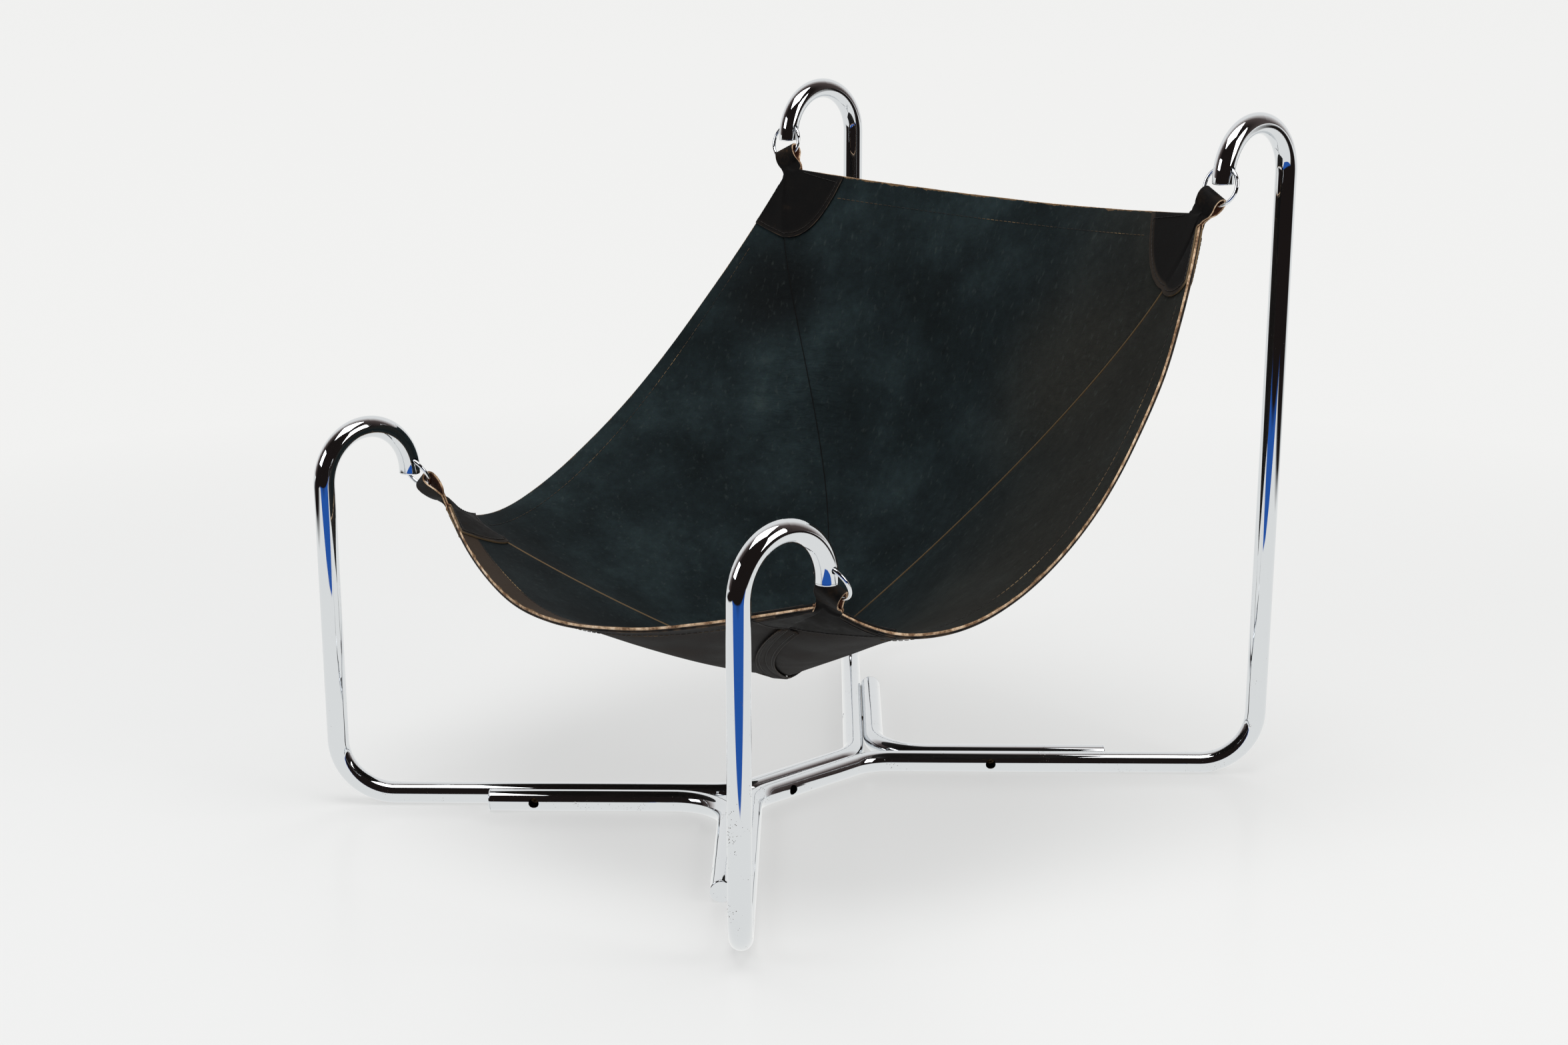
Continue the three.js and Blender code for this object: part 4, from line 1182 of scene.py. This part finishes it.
for piece in chromePieces:
    dress(piece, chromedSteel)
for nodeName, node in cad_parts.items():
    if nodeName.startswith(("screw_", "nut_")):
        for holder in node.material_slots:
            holder.material = screwSteel
for panelName, piece in panelPieces.items():
    dress(piece, suede, hideGrain, cutEdge, dyedEdge)
    dress(facingPieces[panelName], hideGrain, hideGrain, cutEdge, dyedEdge)
    dress(hemStitches[panelName], linenThread)
for cornerName in neighbours:
    dress(cornerPieces[cornerName], bridleFlesh, bridle, cutEdge, dyedEdge)
    dress(tapePieces[cornerName], hideGrain, hideGrain, dyedEdge)
    dress(patchStitches[cornerName], blackThread)
    dress(seamStitches[cornerName], blackThread)
print("finishes laid on")

# What moves with what, and what stands for which solid
for panelName, piece in panelPieces.items():
    belongs(piece, "chair", "sling_leather", panelName + "_panel")
    belongs(facingPieces[panelName], "chair", "sling_leather")
    belongs(hemStitches[panelName], "chair", "sling_leather")
for cornerName in neighbours:
    belongs(cornerPieces[cornerName], "chair", "patch_leather", "corner_loop_" + cornerName)
    belongs(tapePieces[cornerName], "chair", "patch_leather", "seam_tape_" + cornerName)
    belongs(patchStitches[cornerName], "chair", "patch_leather")
    belongs(seamStitches[cornerName], "chair", "patch_leather")

# A loop over the corners that does nothing
for cornerName in neighbours:
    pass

# Stage: a pale floor with a soft shine, a soft studio and the camera of the photograph
stage = {
    "floor": "#f0f0ef",
    "floorSize": 40.0,
    "lens": 60.4,
    "sensor": 36.0,
    "camera": (2128.6, -2102.2, 1066.7),
    "tilt": 76.11,
    "turn": 45.82,
    "viewWay": (0.716, -0.698, 0.0),    # over the floor, from the chair to the camera
    "acrossView": (0.698, 0.716, 0.0),
    "darkRoom": "#1e1918",
}


def emptyTree(holder):
    holder.use_nodes = True
    holder.node_tree.nodes.clear()
    return partial(addNode, holder)


bpy.ops.mesh.primitive_plane_add(size=stage["floorSize"], location=(0, 0, 0))
floor = addedPiece("studioFloor")
floorMaterial = bpy.data.materials.new("studioFloor")
add = emptyTree(floorMaterial)
# the chrome mirrors the white sheet, the blue floor about a metre in front of it and the dark studio beyond
where = add("TexCoord").outputs["Object"]
ahead = add("VectorMath", dotProduct, i0=[where, stage["viewWay"]])
sideways = add("VectorMath", dotProduct, i0=[where, stage["acrossView"]])
aside = add("Math", {"operation": "ABSOLUTE"}, i0=sideways)
farOff = add("Math", productSum, i0=[aside, -0.45, ahead])
blueShare = add("MapRange", i0=[farOff, 0.94, 0.97, 0.0, 1.0])
blueTint = add("Mix", colourMix, i0=blueShare, i6=["#f4f4f2", "#2a5cb0"])
frontDark = add("MapRange", i0=[ahead, 1.85, 2.1, 0.0, 1.0])
sideFar = add("MapRange", i0=[aside, 1.8, 2.1, 0.0, 1.0])
sideNear = add("MapRange", i0=[ahead, -1.2, -0.4, 0.0, 1.0])
sideDark = add("Math", product, i0=[sideFar, sideNear])
darkShare = add("Math", {"operation": "MAXIMUM"}, i0=[frontDark, sideDark])
mirrored = add("Mix", colourMix, i0=darkShare, i6=[blueTint, stage["darkRoom"]])
mirror = add("Emission", Color=mirrored, Strength=1.0)
# the camera sees a soft shine over plain white, which gives way to the lit floor near the chair
path = add("LightPath").outputs
lit = add("BsdfDiffuse", Color="#dededd")
plain = add("Emission", Color="#f2f2f1", Strength=1.0)
shine = add("BsdfGlossy", Color="#ffffff", Roughness=0.22)
gloss = add("Math", product, i0=[add("Fresnel", IOR=1.3), 0.4])
shiny = add("MixShader", i0=[gloss, plain, shine])
fromChair = add("VectorMath", {"operation": "LENGTH"}, i0=where)
evenly = add("MapRange", i0=[fromChair, 0.9, 2.4, 0.58, 1.0])
share = add("Math", product, i0=[path["Is Camera Ray"], evenly])
seen = add("MixShader", i0=[share, lit, shiny])
mixed = add("MixShader", i0=[path["Is Glossy Ray"], seen, mirror])
add("OutputMaterial", Surface=mixed)
dress(floor, floorMaterial)

world = bpy.data.worlds.new("studio")
scene.world = world
add = emptyTree(world)
# metal sees a white backdrop behind the chair, and dark brown above it and on the camera's side
path = add("LightPath").outputs
ahead = add("VectorMath", dotProduct, i0=[add("TexCoord").outputs["Generated"], stage["viewWay"]])
aheadShare = add("MapRange", i0=[ahead, -1.0, 1.0, 0.0, 1.0])
roomStops = [(0.2, "#f0f0ef"), (0.3, "#bdb7b5"), (0.4, "#574d4b"), (0.6, stage["darkRoom"])]
roomLight = add("Background", Color=add("ValToRGB", {"stops": roomStops}, Fac=aheadShare))
softLight = add("Background", Color="#f4f6f8", Strength=0.55)
backLight = add("Background", Color=stage["floor"])
glossMix = add("MixShader", i0=[path["Is Glossy Ray"], softLight, roomLight])
cameraMix = add("MixShader", i0=[path["Is Camera Ray"], glossMix, backLight])
add("OutputWorld", Surface=cameraMix)


def addLamp(name, place, target, size, power, colour, mirrored=True):
    lamp = bpy.data.lights.new(name, "AREA")
    lamp.shape = "RECTANGLE"
    lamp.size, lamp.size_y = size
    lamp.energy = power
    lamp.color = hexColour(colour)[:3]
    holder = bpy.data.objects.new(name, lamp)
    scene.collection.objects.link(holder)
    holder.visible_glossy = mirrored
    holder.location = place
    holder.rotation_euler = (Vector(target) - Vector(place)).to_track_quat("-Z", "Y").to_euler()


addLamp("topBox", (0.3, -0.3, 3.0), (0, 0, 0.3), (2.2, 1.6), 48, "#ffffff")
addLamp("sideBox", (2.6, 0.9, 1.7), (0, 0, 0.4), (1.2, 1.6), 26, "#fdfcfa")
addLamp("backBox", (-1.9, 2.6, 1.9), (0, 0, 0.4), (1.6, 1.2), 20, "#fbfbfa", False)
addLamp("frontBox", (-0.9, -3.0, 2.0), (0, 0, 0.4), (1.6, 1.2), 24, "#f8fbff")

cameraData = bpy.data.cameras.new("photoCamera")
cameraData.sensor_width = stage["sensor"]
cameraData.lens = stage["lens"]
camera = bpy.data.objects.new("photoCamera", cameraData)
scene.collection.objects.link(camera)
camera.location = spot(stage["camera"])
camera.rotation_euler = (math.radians(stage["tilt"]), 0, math.radians(stage["turn"]))
scene.camera = camera
scene.view_settings.view_transform = "Standard"
print("stage set")
